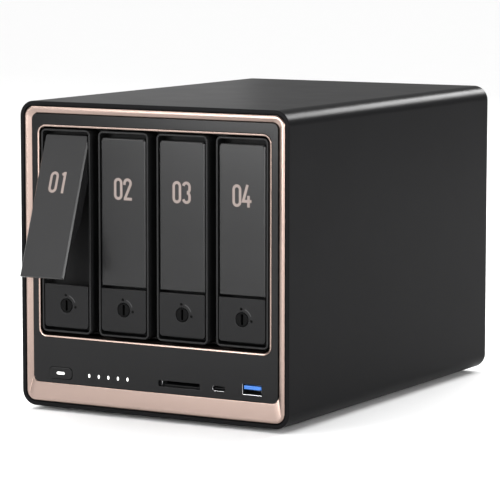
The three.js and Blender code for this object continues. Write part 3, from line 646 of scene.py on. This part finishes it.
def add_bezel():
    box = span("front_bezel")
    front, rear = box[2:4]
    inner = span("front_panel")
    gap = 0.1
    edge = 1.3  # radius of the outer edge
    brow = (1.95, 2.15)  # where the face bends from its flat outer part to its slope
    lip = 0.25  # radius of the inner edge
    dish = 1.4  # how far the face falls back at the inner edge
    sill_dish = 0.5  # the same, along the deeper bottom band

    def outer_ring(inset, y):
        return ring_at(around(box, -inset, INSIDE_RADIUS - inset, 12), y)

    def inner_ring(outset, y, levelled=True):
        """A ring round the opening; a levelled one comes forward along the bottom band."""
        grow = gap + outset
        ring = ring_at(around(inner, grow, OPENING_RADIUS + outset, 12), y)
        if not levelled:
            return ring
        sill = inner[4] - grow
        lift = dish - sill_dish
        return [(x, v - max(0, lift - lift / OPENING_RADIUS * (z - sill)), z) for x, v, z in ring]

    rings = [outer_ring(inset, y) for inset, y in arc(edge, front + edge, edge, 180, 266, 8)]
    rings += [outer_ring(brow[0], front + 0.01), outer_ring(brow[1], front + 0.05)]
    rings += [inner_ring(lip - a, front + dish + lip - b) for a, b in arc(0, 0, lip, 90, 0, 4)]
    rings += [inner_ring(0, rear, False), outer_ring(0, rear)]
    bezel = Build()
    bezel.sweep(rings)
    bezel.piece("bezel_frame", ROOT, [ROSE_GOLD], ["front_bezel"])


LENS_COUNT = 5
LENS_PITCH = 6.5
LENS_SIZE = (1.2, 2.1)


def lens_places():
    """The middles of the lenses in x, and their height."""
    x, z = middle("status_light_guide")
    first = x - LENS_PITCH * (LENS_COUNT - 1) / 2
    return [first + i * LENS_PITCH for i in range(LENS_COUNT)], z


def add_panel():
    box = span("front_panel")
    lens_x, lens_z = lens_places()
    gap = 0.15
    rim = 0.25  # how far the sockets' metal hides behind the fascia
    windows = [
        around(span("bay_trim_ring"), gap, BAY_RADIUS + gap),
        around(span("power_button"), gap, 2.3, 5),
        around(span("sd_card_slot"), -0.5, 0.5, 3),
        around(span("front_usb_c_port"), -rim, 1.3, 5),
        around(span("front_usb_a_port"), -rim, 0.4, 3),
    ]
    width, height = (size + 0.2 for size in LENS_SIZE)
    windows += [centred(x, lens_z, width, height, 0.85, 5) for x in lens_x]
    panel = Build()
    panel.plate(around(box, 0, OPENING_RADIUS - 0.3), *box[2:4], 0.18, windows)
    panel.piece("front_fascia", ROOT, [PANEL_PLASTIC], ["front_panel"])


def add_trim_ring():
    box = span("bay_trim_ring")
    front, rear = box[2:4]

    def ring(inset, y):
        return ring_at(around(box, -inset, BAY_RADIUS - inset, 10), y)

    outer, inner = 0.3, 0.2  # radii of the face's two edges
    face, fall = 1.0, 0.2  # the face's width, and how far its inner edge lies back
    profile = arc(outer, front + outer, outer, 180, 270, 4)
    profile += arc(face - inner, front + fall + inner, inner, 290, 350, 3)
    profile += [(TRIM_WIDTH, front + 1.8), (TRIM_WIDTH, rear), (0, rear)]
    trim = Build()
    trim.sweep([ring(inset, y) for inset, y in profile])
    trim.piece("bay_trim", ROOT, [ROSE_GOLD], ["bay_trim_ring"])


# ---------- Front controls and sockets ----------

SOCKET_SETBACK = 0.5  # how far the front sockets' rims lie behind their CAD faces


def add_power_button():
    box = span("power_button")
    y0, y1 = box[2:4]
    x, z = middle("power_button")
    width, height = 5.3, 1.4  # the light strip
    cap = Build()
    window = centred(x, z, width + 0.1, height + 0.1, 0.7, 5)
    cap.plate(around(box, 0, 2.2), y0, y0 + 2.4, 0.35, [window])
    cap.block(x - 4, x + 4, y0 + 2, y1, z - 2, z + 2)
    cap.plate(centred(x, z, width, height, 0.65, 5), y0 + 0.12, y0 + 2.2, 0.1, slot=1)
    looks = [PANEL_PLASTIC, LIT_LENS]
    cap.piece("power_key", "power_button", looks, ["power_button"])


def add_status_lights():
    x0, x1, y0, y1, z0, z1 = span("status_light_guide")
    lens_x, lens_z = lens_places()
    guide = Build()
    guide.block(x0, x1, y1 - 3, y1, z0, z1, 0.4)
    for x in lens_x:
        guide.plate(centred(x, lens_z, *LENS_SIZE, 0.75, 5), y0 + 0.1, y1 - 2, 0.12)
    guide.piece("status_lights", ROOT, [LIT_LENS], ["status_light_guide"])


def add_card_slot():
    box = span("sd_card_slot")
    x0, x1, y0, y1, z0, z1 = box
    wall = 0.5
    slot = Build()
    slot.plate(around(box, 0, 0.4, 3), y0, y1 - 1, 0.1, [around(box, -wall, 0.3, 2)])
    slot.block(x0, x1, y1 - 1.2, y1, z0, z1, 0.2)
    floor = z0 + wall
    slot.block(x0 + wall, x1 - wall, y0 + 0.7, y1 - 1, floor - 0.1, floor + 0.7, 0.25, 2)
    slot.block(x0 + wall - 0.2, x0 + wall + 0.3, y0 + 0.2, y0 + 6, floor, z1 - wall, 0.1, 1)
    contacts, pitch = 9, 2.5
    for i in range(contacts):
        x = x0 + 4 + pitch * i
        slot.block(x, x + 1, y1 - 9, y1 - 1, floor + 0.6, floor + 0.85, 0.05, 1)
    looks = [BLACK_PLASTIC, PLATED_STEEL, TRAY_PLASTIC]
    slot.piece("card_reader", ROOT, looks, ["sd_card_slot"])


def add_metal_socket(build, box, wall, radius, back):
    """A drawn metal shell with a closed back; back is the side of its closed end, 1 or -1."""
    y0, y1 = box[2:4]
    mouth = around(box, -wall, max(radius - wall, 0.15), 4)
    outline = around(box, 0, radius, 4)
    if back > 0:
        build.plate(outline, y0, y1 - 1, 0.12, [mouth])
        build.plate(outline, y1 - 1.2, y1, 0.12)
    else:
        build.plate(outline, y0 + 1, y1, 0.12, [mouth])
        build.plate(outline, y0, y0 + 1.2, 0.12)


def add_shade_lining(build, box, start, wall, radius, slot):
    """A dark skin inside the metal mouth of a front socket: painted shade over the socket's
    shadowed inner metal walls.
    """
    skin = 0.12
    outline = around(box, 0.1 - wall, radius, 4)
    mouth = around(box, -wall - skin, radius, 4)
    build.plate(outline, start, box[3] - 1, 0.03, [mouth], slot=slot, steps=1)


def add_usb_c():
    x0, x1, y0, y1, z0, z1 = span("front_usb_c_port")
    _, z = middle("front_usb_c_port")
    box = (x0, x1, y0 + SOCKET_SETBACK, y1, z0, z1)
    wall = 0.35
    port = Build()
    add_metal_socket(port, box, wall, 1.6, 1)
    # A dark skin in the mouth paints the shade of the socket's inner walls.
    add_shade_lining(port, box, y0 + 1.2, wall, 1.1, 1)
    port.block(x0 + 1.4, x1 - 1.4, y0 + 1.2, y1 - 1, z - 0.4, z + 0.4, 0.15, 1)
    looks = [PLATED_STEEL, BLACK_PLASTIC]
    port.piece("usb_c_socket", ROOT, looks, ["front_usb_c_port"])


def add_usb_tongue(build, x, y0, y1, z0, z1, way):
    """A USB-A socket's tongue, four contacts on its lower face; way is the mouth's side."""
    half, pitch, width = 5.6, 2.4, 1.1
    build.block(x - half, x + half, y0, y1, z0, z1, 0.25, 1)
    tip = y0 if way < 0 else y1
    start, end = sorted((tip - way * 0.8, tip - way * 7))
    for i in range(4):
        left = x - 4.2 + pitch * i
        build.block(left, left + width, start, end, z0 - 0.12, z0 + 0.1, 0.05, 2)


def add_usb_a():
    x0, x1, y0, y1, z0, z1 = span("front_usb_a_port")
    box = (x0, x1, y0 + SOCKET_SETBACK, y1, z0, z1)
    wall = 0.4
    port = Build()
    add_metal_socket(port, box, wall, 0.6, 1)
    # A dark skin in the mouth paints the shade of the socket's inner walls.
    add_shade_lining(port, box, y0 + 1.0, wall, 0.3, 3)
    add_usb_tongue(port, (x0 + x1) / 2, y0 + 0.9, y1 - 1, z1 - 3.4, z1 - 1.2, -1)
    looks = [PLATED_STEEL, BLUE_PLASTIC, GOLD_CONTACTS, BLACK_PLASTIC]
    port.piece("usb_a_socket", ROOT, looks, ["front_usb_a_port"])


# ---------- Trays, levers, release buttons and locks ----------

TRAY_RADIUS = 3
TRAY_LIP = 1.2
POCKET_DEPTH = 8.5
FLOOR_THICKNESS = 2
RAIL_HEIGHT = 6.4
RAIL_HALF = 15
GROOVE_HALF = 10
GROOVE_DEPTH = 3.4
RAIL_INSET = 1.4
WEB_THICKNESS = 1.5
LOCK_RADIUS = 4
STUD_OFFSET = 11  # from the release button's middle to each of its two studs
LEVER_HALF = 14.95
LEVER_THICKNESS = 2.4
LEVER_FOOT = 29.3  # above the tray frame's foot
LEVER_HEAD = 3.7  # below the tray frame's head
RIB_WIDTH = 1.6
PIN_REACH = 16.3  # from the lever's middle to a pin's end
NUMBER_HEIGHT = 123.3  # of the digits' feet, above the shell's underside
DIGIT_HEIGHT = 12.6
DIGIT_WIDTH = 5.7
DIGIT_STROKE = 1.6
DIGIT_GAP = 0.6


def add_tray(number):
    node = f"tray_{number}"
    box = span(node)
    _, _, y0, y1, z0, z1 = box
    x, _ = middle(node)
    _, lock_z = middle(f"lock_cylinder_{number}")
    floor_front = y0 + POCKET_DEPTH
    floor_rear = floor_front + FLOOR_THICKNESS
    tray = Build()

    def ring(inset, y):
        return ring_at(around(box, -inset, TRAY_RADIUS - inset, 8), y)

    edge = 0.4
    profile = arc(edge, y0 + edge, edge, 180, 270, 3)
    profile += arc(TRAY_LIP - edge, y0 + edge, edge, 270, 360, 3)
    profile += [(TRAY_LIP, floor_rear), (0, floor_rear)]
    inner_wall = len(profile) - 3
    tray.sweep([ring(inset, y) for inset, y in profile], others=[inner_wall])

    inset = TRAY_LIP - 0.1
    holes = [circle(x, lock_z, LOCK_RADIUS + 0.6, 32)]
    holes += [centred(x + side * STUD_OFFSET, lock_z, 3.6, 5.6, 0.4, 3) for side in (-1, 1)]
    floor = around(box, -inset, TRAY_RADIUS - inset)
    tray.plate(floor, floor_front, floor_rear, 0.15, holes, slot=1)
    for outer, way in ((z0 + RAIL_INSET, 1), (z1 - RAIL_INSET, -1)):
        groove = outer + way * GROOVE_DEPTH
        inner = outer + way * RAIL_HEIGHT
        points = [(-RAIL_HALF, outer), (-GROOVE_HALF, outer), (-GROOVE_HALF, groove)]
        points += [(GROOVE_HALF, groove), (GROOVE_HALF, outer), (RAIL_HALF, outer)]
        points += [(RAIL_HALF, inner), (-RAIL_HALF, inner)]
        points = [(x + u, v) for u, v in points][::way]
        tray.plate(points, floor_rear - 0.3, y1, 0.25, steps=2)
    web_low = z0 + RAIL_INSET + RAIL_HEIGHT - 0.2
    web_high = z1 - RAIL_INSET - RAIL_HEIGHT + 0.2
    web_y, web_z = (floor_rear + y1) / 2, (web_low + web_high) / 2
    pitch, width, height = 36, 22, web_high - web_low - 36
    windows = [centred(web_y + (i - 1.5) * pitch, web_z, width, height, 4) for i in range(4)]
    web = rounded(floor_rear - 0.3, y1, web_low, web_high, 0.3, steps=2)
    tray.plate(web, x - RAIL_HALF, x - RAIL_HALF + WEB_THICKNESS, 0.25, windows, "x")
    looks = [TRAY_PLASTIC, BLACK_PLASTIC]
    tray.piece(f"tray_body_{number}", node, looks, [node])


def digit_paths(digit):
    """The centre lines of a narrow digit, in a box from 0,0; only a nought's line is closed."""
    s = DIGIT_STROKE / 2
    w, h = DIGIT_WIDTH - s, DIGIT_HEIGHT - s
    m = (w + s) / 2
    r = (w - s) / 2
    if digit == 0:
        return [arc(m, h - r, r, 0, 180, 10) + arc(m, s + r, r, 180, 360, 10)]
    if digit == 1:
        return [[(m + 0.6, 0), (m + 0.6, DIGIT_HEIGHT)], [(m - 1.1, h - 1), (m + 0.2, h)]]
    if digit == 2:
        bow = arc(m, h - r, r, 180, -25, 12)
        return [[(s, h - r - 1.0)] + bow + [(s + 0.15, s)], [(0.3, s), (DIGIT_WIDTH, s)]]
    if digit == 3:
        q = (h - s) / 4
        high = arc(m, h - r, r, 170, 0, 10) + [(w, h - 2 * q + r)]
        high += arc(m, h - 2 * q + r, r, 0, -80, 6)
        return [high, arc(m, s + 2 * q - r, r, 80, 0, 6) + arc(m, s + r, r, 0, -170, 10)]
    bar = 3.4  # height of the four's crossbar
    slope = [(m + 0.5, DIGIT_HEIGHT), (s - 0.2, bar), (DIGIT_WIDTH + 0.2, bar)]
    return [slope, [(w - 0.9, 0), (w - 0.9, h * 0.55)]]


def add_number(build, number, x, face, low, slot):
    """The bay's number, two thin raised digits on the face, centred on x."""
    left = x - DIGIT_WIDTH - DIGIT_GAP / 2
    for place, digit in enumerate((0, number)):
        shift = left + place * (DIGIT_WIDTH + DIGIT_GAP)
        for layer, path in enumerate(digit_paths(digit)):
            moved = [(shift + u, low + v) for u, v in path]
            outside, inside = stroke(moved, DIGIT_STROKE, closed=digit == 0)
            holes = [inside] if inside else []
            front = face - 0.05 - 0.015 * layer  # strokes that cross keep their faces apart
            build.plate(outside, front, face + 0.4, 0.01, holes, slot=slot, steps=1)


def add_lever(number):
    node = f"lever_{number}"
    joint = JOINTS[f"{node}_hinge"]
    pivot = to_shell(joint["pos_m"])
    open_angle = math.radians(-joint["range_deg"][0])
    x, _ = middle(f"tray_{number}")
    tray = span(f"tray_{number}")
    face, back = tray[2], tray[2] + LEVER_THICKNESS
    low, high = tray[4] + LEVER_FOOT, tray[5] - LEVER_HEAD
    lever = Build()

    def layer(inset, foot, depth):
        """The lever's outline, drawn in by an inset, and by a deeper one at its foot."""
        sides = (x - LEVER_HALF + inset, x + LEVER_HALF - inset)
        outline = rounded(*sides, low + foot, high - inset, 0.4, 1.8 - inset, 5)
        return ring_at(outline, face + depth)

    # A chamfer round the face, a straight side, then a smaller chamfer at the back.
    layers = [(1.0, 0.6, 0), (0.9, 0.5, 0.03), (0.05, 0.05, 0.9), (0, 0, 1.0)]
    layers += [(0, 0, LEVER_THICKNESS - 0.3), (0.3, 0.3, LEVER_THICKNESS)]
    lever.sweep([layer(*step) for step in layers], closed=False)
    boss, pin = 3.6, 1.7
    for side in (-1, 1):
        inner = x + side * (LEVER_HALF - RIB_WIDTH)
        a, b = sorted((inner, x + side * LEVER_HALF))
        rib = [(back - 0.3, low + 22), (face + 4.6, low + 22), (face + 7.6, low + 34)]
        rib += [(face + 7.6, pivot.z - boss), (back - 0.3, pivot.z)]
        lever.plate(rib, a, b, 0.2, axis="x", steps=2)
        lever.rod(pivot.y, pivot.z, boss, a, b, 0.3, "x")
        a, b = sorted((inner, x + side * PIN_REACH))
        lever.rod(pivot.y, pivot.z, pin, a, b, 0.2, "x", 24)
    lever.block(x - 12, x + 12, back - 0.3, back + 1.2, low + 2, low + 4)
    add_number(lever, number, x, face, NUMBER_HEIGHT, 1)
    swing = Matrix.Rotation(-open_angle, 4, "X")
    lever.turn(Matrix.Translation(pivot) @ swing @ Matrix.Translation(-pivot))
    lever.piece(f"swing_{node}", node, [LEVER_PAINT, DIGIT_INK], [node])


def add_release(number):
    node = f"release_button_{number}"
    x, _ = middle(f"tray_{number}")
    x0, x1, y0, y1, z0, z1 = span(node)
    _, lock_z = middle(f"lock_cylinder_{number}")
    button = Build()
    hole = circle(x, lock_z, LOCK_RADIUS + 0.12, 48)
    button.plate(rounded(x0, x1, z0, z1, 2, 0.6, steps=5), y0, y0 + 2.4, 0.35, [hole])
    button.plate(circle(x, lock_z, 5.6), y0 + 2, y0 + 6.1, 0.2, [circle(x, lock_z, 4.3)])
    for side in (-1, 1):
        stud = x + side * STUD_OFFSET
        button.block(stud - 1.5, stud + 1.5, y0 + 2, y1, lock_z - 2.5, lock_z + 2.5)
    # Two dots and an arc show where the lock points when it is open and shut.
    mark = (y0 - 0.03, y0 + 0.3, 0.02)
    for u, v in ((-0.4, 6.0), (6.2, -0.6)):
        button.plate(circle(x + u, lock_z + v, 0.8, 20), *mark, slot=1, steps=1)
    sweep_arc = arc(x, lock_z, 6.1, 20, 72, 10)
    button.plate(stroke(sweep_arc, 0.5)[0], *mark, slot=2, steps=1)
    looks = [RELEASE_PAINT, DARK_PRINT_AND_SHADE, POWDER_COAT]
    button.piece(f"release_key_{number}", f"release_{number}", looks, [node])


def add_lock(number):
    node = f"lock_cylinder_{number}"
    x, _ = middle(f"tray_{number}")
    _, z = middle(node)
    _, x1, y0, y1, _, _ = span(node)
    barrel = Build()
    keyway = centred(x, z, 1.2, 6, 0.5, 3)
    barrel.plate(circle(x, z, LOCK_RADIUS), y0 + 0.1, y0 + 5, 0.5, [keyway])
    barrel.rod(x, z, LOCK_RADIUS, y0 + 4.8, y1, 0.3)
    barrel.block(x, x1, y1 - 1.5, y1, z - 2, z + 2)
    for i in range(3):
        pin_y = y0 + 2.2 + i
        barrel.block(x - 0.35, x + 0.35, pin_y, pin_y + 0.5, z - 2.4, z + 2.4 - i * 0.8, 0.08)
    barrel.piece(f"lock_barrel_{number}", f"lock_{number}", [LOCK_METAL], [node])


# ---------- Rear ----------

SOCKETS = ("hdmi_port", "rear_usb_stack", "rear_usb_port", "lan_jack_1", "lan_jack_2")
FAN_BORE = 66.5
FAN_HOLE_PITCH = 124.5
SECURITY_SLOT = (78, 23, 3, 7)  # its middle in x and z, its width and its height


def add_rear_panel():
    box = span("rear_panel")
    left, right, front, rear, low, high = box
    windows = [circle(*middle("fan_frame"), FAN_BORE, 96)]
    windows += [around(span(name), 0.2, 0.4, 3) for name in SOCKETS]
    windows.append(circle(*middle("dc_inlet"), 4.25))
    windows.append(circle(*middle("reset_button"), 1.5, 24))
    windows.append(centred(*SECURITY_SLOT, 0.8, 3))
    panel = Build()
    panel.plate(around(box, 0, INSIDE_RADIUS), front, rear, 0.2, windows)
    screw_inset = 6
    for x in (left + screw_inset, right - screw_inset):
        for z in (low + screw_inset, high - screw_inset):
            add_screw_head(panel, x, z, rear, 1, "y", 2.8, 1)
    looks = [POWDER_COAT, PLATED_STEEL, DARK_PRINT_AND_SHADE]
    panel.piece("rear_plate", ROOT, looks, ["rear_panel"])


def add_rear_sockets():
    looks = [PLATED_STEEL, BLUE_PLASTIC, GOLD_CONTACTS, BLACK_PLASTIC, LIT_LENS]
    for name in SOCKETS:
        box = span(name)
        x0, x1, y0, y1, z0, z1 = box
        x, z = middle(name)
        socket = Build()
        if name in ("rear_usb_stack", "rear_usb_port"):
            double = name == "rear_usb_stack"
            for low, high in ((z0, z + 0.3), (z - 0.3, z1)) if double else ((z0, z1),):
                add_metal_socket(socket, (x0, x1, y0, y1, low, high), 0.9, 0.5, -1)
                add_usb_tongue(socket, x, y1 - 9.5, y1 - 0.8, high - 3.9, high - 2.1, 1)
        elif name == "hdmi_port":
            add_metal_socket(socket, box, 0.7, 0.5, -1)
            socket.block(x - 5.4, x + 5.4, y1 - 8, y1 - 1.4, z - 0.1, z + 1.3, 0.2, 3)
        else:
            add_metal_socket(socket, box, 2.1, 0.5, -1)
            for i in range(8):
                left = x - 4.4 + 1.18 * i
                socket.block(left, left + 0.5, y1 - 9, y1 - 3, z1 - 2.7, z1 - 2.3, 0.08, 2)
            for side in (-1, 1):
                lamp = x + side * 5.6
                ends = (lamp - 1.2, lamp + 1.2, y1 - 1, y1 + 0.02, z0 + 0.3, z0 + 1.6)
                socket.block(*ends, 0.1, 4)
        socket.piece(f"{name}_shell", ROOT, looks, [name])


def add_power_inlet():
    box = span("dc_inlet")
    y0, y1 = box[2:4]
    x, z = middle("dc_inlet")
    inlet = Build()
    bore = circle(x, z, 3.3)
    inlet.plate(around(box, 0, 0.6, 3), y0, y1 - 3, 0.3, [bore])
    inlet.plate(circle(x, z, 4.1), y1 - 3.2, y1, 0.25, [bore])
    inlet.rod(x, z, 3.4, y0 + 0.2, y1 - 10, 0.2)
    inlet.rod(x, z, 1.05, y1 - 11, y1 - 1.2, 0.4, slot=1)
    inlet.piece("power_inlet", ROOT, [BLACK_PLASTIC, PLATED_STEEL], ["dc_inlet"])


def add_fan():
    box = span("fan_frame")
    y0, y1 = box[2:4]
    x, z = middle("fan_frame")
    housing = Build()
    reach = FAN_HOLE_PITCH / 2
    holes = [circle(x + u * reach, z + v * reach, 2.15, 16) for u in (-1, 1) for v in (-1, 1)]
    bore = circle(x, z, FAN_BORE, 96)
    for start, end in ((y0, y0 + 4), (y1 - 4, y1)):
        housing.plate(around(box, 0, 6), start, end, 0.4, holes + [bore])
    housing.plate(circle(x, z, FAN_BORE + 2.4, 96), y0 + 3, y1 - 3, 0.2, [bore])
    housing.rod(x, z, 22, y0, y0 + 3, 0.5, sides=64)
    for i in range(4):
        spoke = Build()
        spoke.block(x + 20, x + FAN_BORE + 1, y0, y0 + 3, z - 1.8, z + 1.8, 0.5)
        centre = Vector((x, 0, z))
        turn = Matrix.Rotation(math.radians(90 * i + 45), 4, "Y")
        spoke.turn(Matrix.Translation(centre) @ turn @ Matrix.Translation(-centre))
        housing.add(spoke.verts, spoke.faces)
    housing.piece("fan_housing", ROOT, [BLACK_PLASTIC], ["fan_frame"])


def add_rotor():
    _, x1, y0, y1, _, _ = span("fan_rotor")
    centre = to_shell(JOINTS["fan_spin"]["pos_m"])
    hub, tip, root = 24, min(x1 - centre.x, 64.5), 22.5  # root is buried in the hub
    rotor = Build()
    edge = 2
    profile = [(0, y0)] + [(hub - edge + a, y0 + edge - b) for a, b in arc(0, 0, edge, 90, 0, 4)]
    profile += [(hub - edge + a, y1 - edge + b) for a, b in arc(0, 0, edge, 0, 90, 4)]
    rotor.lathe(profile + [(0, y1)], centre.x, centre.z, "y", 64)
    blades, along, across = 9, 8, 8
    half_thickness = 0.6
    half_depth = (y1 - y0 - 4) * 0.46
    for blade in range(blades):
        start = 360 / blades * blade
        front_side, rear_side = [], []
        for i in range(along + 1):
            share = i / along
            radius = root + (tip - root) * share
            sweep = 34 - 6 * share
            lean = 10 * share * share
            for j in range(across + 1):
                chord = j / across - 0.5
                angle = math.radians(start + lean + sweep * chord)
                camber = 6.4 * (0.25 - chord * chord)
                y = centre.y - 2 * half_depth * chord * (1 - 0.15 * share) + camber
                x, z = centre.x + radius * math.cos(angle), centre.z + radius * math.sin(angle)
                front_side.append((x, y - half_thickness, z))
                rear_side.append((x, y + half_thickness, z))
        row = across + 1
        faces = []
        half = len(front_side)
        for i in range(along):
            for j in range(across):
                a = i * row + j
                faces.append((a, a + 1, a + row + 1, a + row))
                faces.append((half + a, half + a + row, half + a + row + 1, half + a + 1))
        border = list(range(row))
        border += [i * row + across for i in range(1, along + 1)]
        border += [along * row + j for j in range(across - 1, -1, -1)]
        border += [i * row for i in range(along - 1, 0, -1)]
        for k, a in enumerate(border):
            b = border[(k + 1) % len(border)]
            faces.append((a, b, half + b, half + a))
        rotor.add(front_side + rear_side, faces)
    rotor.piece("fan_blades", "fan_rotor", [BLACK_PLASTIC], ["fan_rotor"])


def add_filter():
    """The dust filter: a flat frame round a sheet of hexagonal holes."""
    box = span("filter_cover")
    x0, x1, y0, y1, z0, z1 = box
    border = 6
    cover = Build()
    cover.plate(around(box, 0, 6), y0, y1, 0.5, [around(box, -border, 3, 5)])
    pitch, bar = 3.4, 0.75  # from hole to hole, and the width left between them
    overlap = 0.4  # how far the sheet runs into the frame
    left, right = x0 + border - overlap, x1 - border + overlap
    low, high = z0 + border - overlap, z1 - border + overlap
    columns = int((right - left) / pitch)
    rows = int((high - low) / (pitch * math.sqrt(3) / 2))
    pitch_x = (right - left) / columns
    pitch_z = (high - low) / rows
    sheet_y = (y0 + 0.7, y0 + 1.3)
    reach = pitch_x / math.sqrt(3)
    hole = reach - bar / math.sqrt(3)
    angles = [math.radians(60 * k) for k in range(6)]
    verts, faces = [], []

    def hexagon(x, z, radius, y):
        """Adds a hexagon's points, kept within the sheet, and returns their numbers."""
        for angle in angles:
            u, v = x + radius * math.sin(angle), z + radius * math.cos(angle)
            verts.append((min(max(u, left), right), y, min(max(v, low), high)))
        return range(len(verts) - 6, len(verts))

    for row in range(rows):
        offset = pitch_x / 2 if row % 2 else 0
        z = low + (row + 0.5) * pitch_z
        for column in range(columns - (row % 2)):
            x = left + (column + 0.5) * pitch_x + offset
            a, b, c, d = (hexagon(x, z, radius, y) for y in sheet_y for radius in (reach, hole))
            for k in range(6):
                n = (k + 1) % 6
                faces.append((a[k], a[n], b[n], b[k]))
                faces.append((c[n], c[k], d[k], d[n]))
                faces.append((b[k], b[n], d[n], d[k]))
                faces.append((a[n], a[k], c[k], c[n]))
    cover.add(verts, faces)
    cover.piece("dust_filter", "filter_cover", [MESH_PAINT], ["filter_cover"])


def add_reset_button():
    x0, x1, y0, y1, _, _ = span("reset_button")
    key = Build()
    key.rod(*middle("reset_button"), (x1 - x0) / 2, y0, y1, 0.25)
    key.piece("reset_key", "reset_button", [BLACK_PLASTIC], ["reset_button"])


# ---------- CAD nodes that keep their own shape ----------


def dress(node, material, bevel):
    """Gives a CAD node its material and rounds its edges a little."""
    obj = frame["nodes"][node]
    obj.data.materials.clear()
    obj.data.materials.append(material)
    rounding = obj.modifiers.new("edges", "BEVEL")
    rounding.width = bevel * MM
    rounding.segments = 2
    rounding.limit_method = "ANGLE"
    rounding.angle_limit = math.radians(50)
    rounding.use_clamp_overlap = True
    weigh_normals(obj)


def dress_inner_nodes():
    looks = [("front_chassis_plate", BLACK_PLASTIC, 0.1)]
    looks += [(name, BLACK_PLASTIC, 0.25) for name in ("cage_base", "cage_top")]
    looks += [(f"cage_wall_{number}", POWDER_COAT, 0.15) for number in range(1, 6)]
    looks += [(f"sata_connector_{number}", BLACK_PLASTIC, 0.2) for number in range(1, 5)]
    looks += [(name, BOARD_MASK, 0.1) for name in ("backplane_board", "mainboard", "memory_module")]
    looks += [("memory_socket", BLACK_PLASTIC, 0.15), ("cpu_heatsink", BARE_ALUMINIUM, 0.15)]
    for name, material, bevel in looks:
        dress(name, material, bevel)


# ---------- Everything, in order ----------

add_camera()
add_studio()
add_shell()
add_feet()
add_bezel()
add_panel()
add_trim_ring()
add_power_button()
add_status_lights()
add_card_slot()
add_usb_c()
add_usb_a()
for bay in range(1, 5):
    add_tray(bay)
    add_lever(bay)
    add_release(bay)
    add_lock(bay)
add_rear_panel()
add_rear_sockets()
add_power_inlet()
add_fan()
add_rotor()
add_filter()
add_reset_button()
dress_inner_nodes()
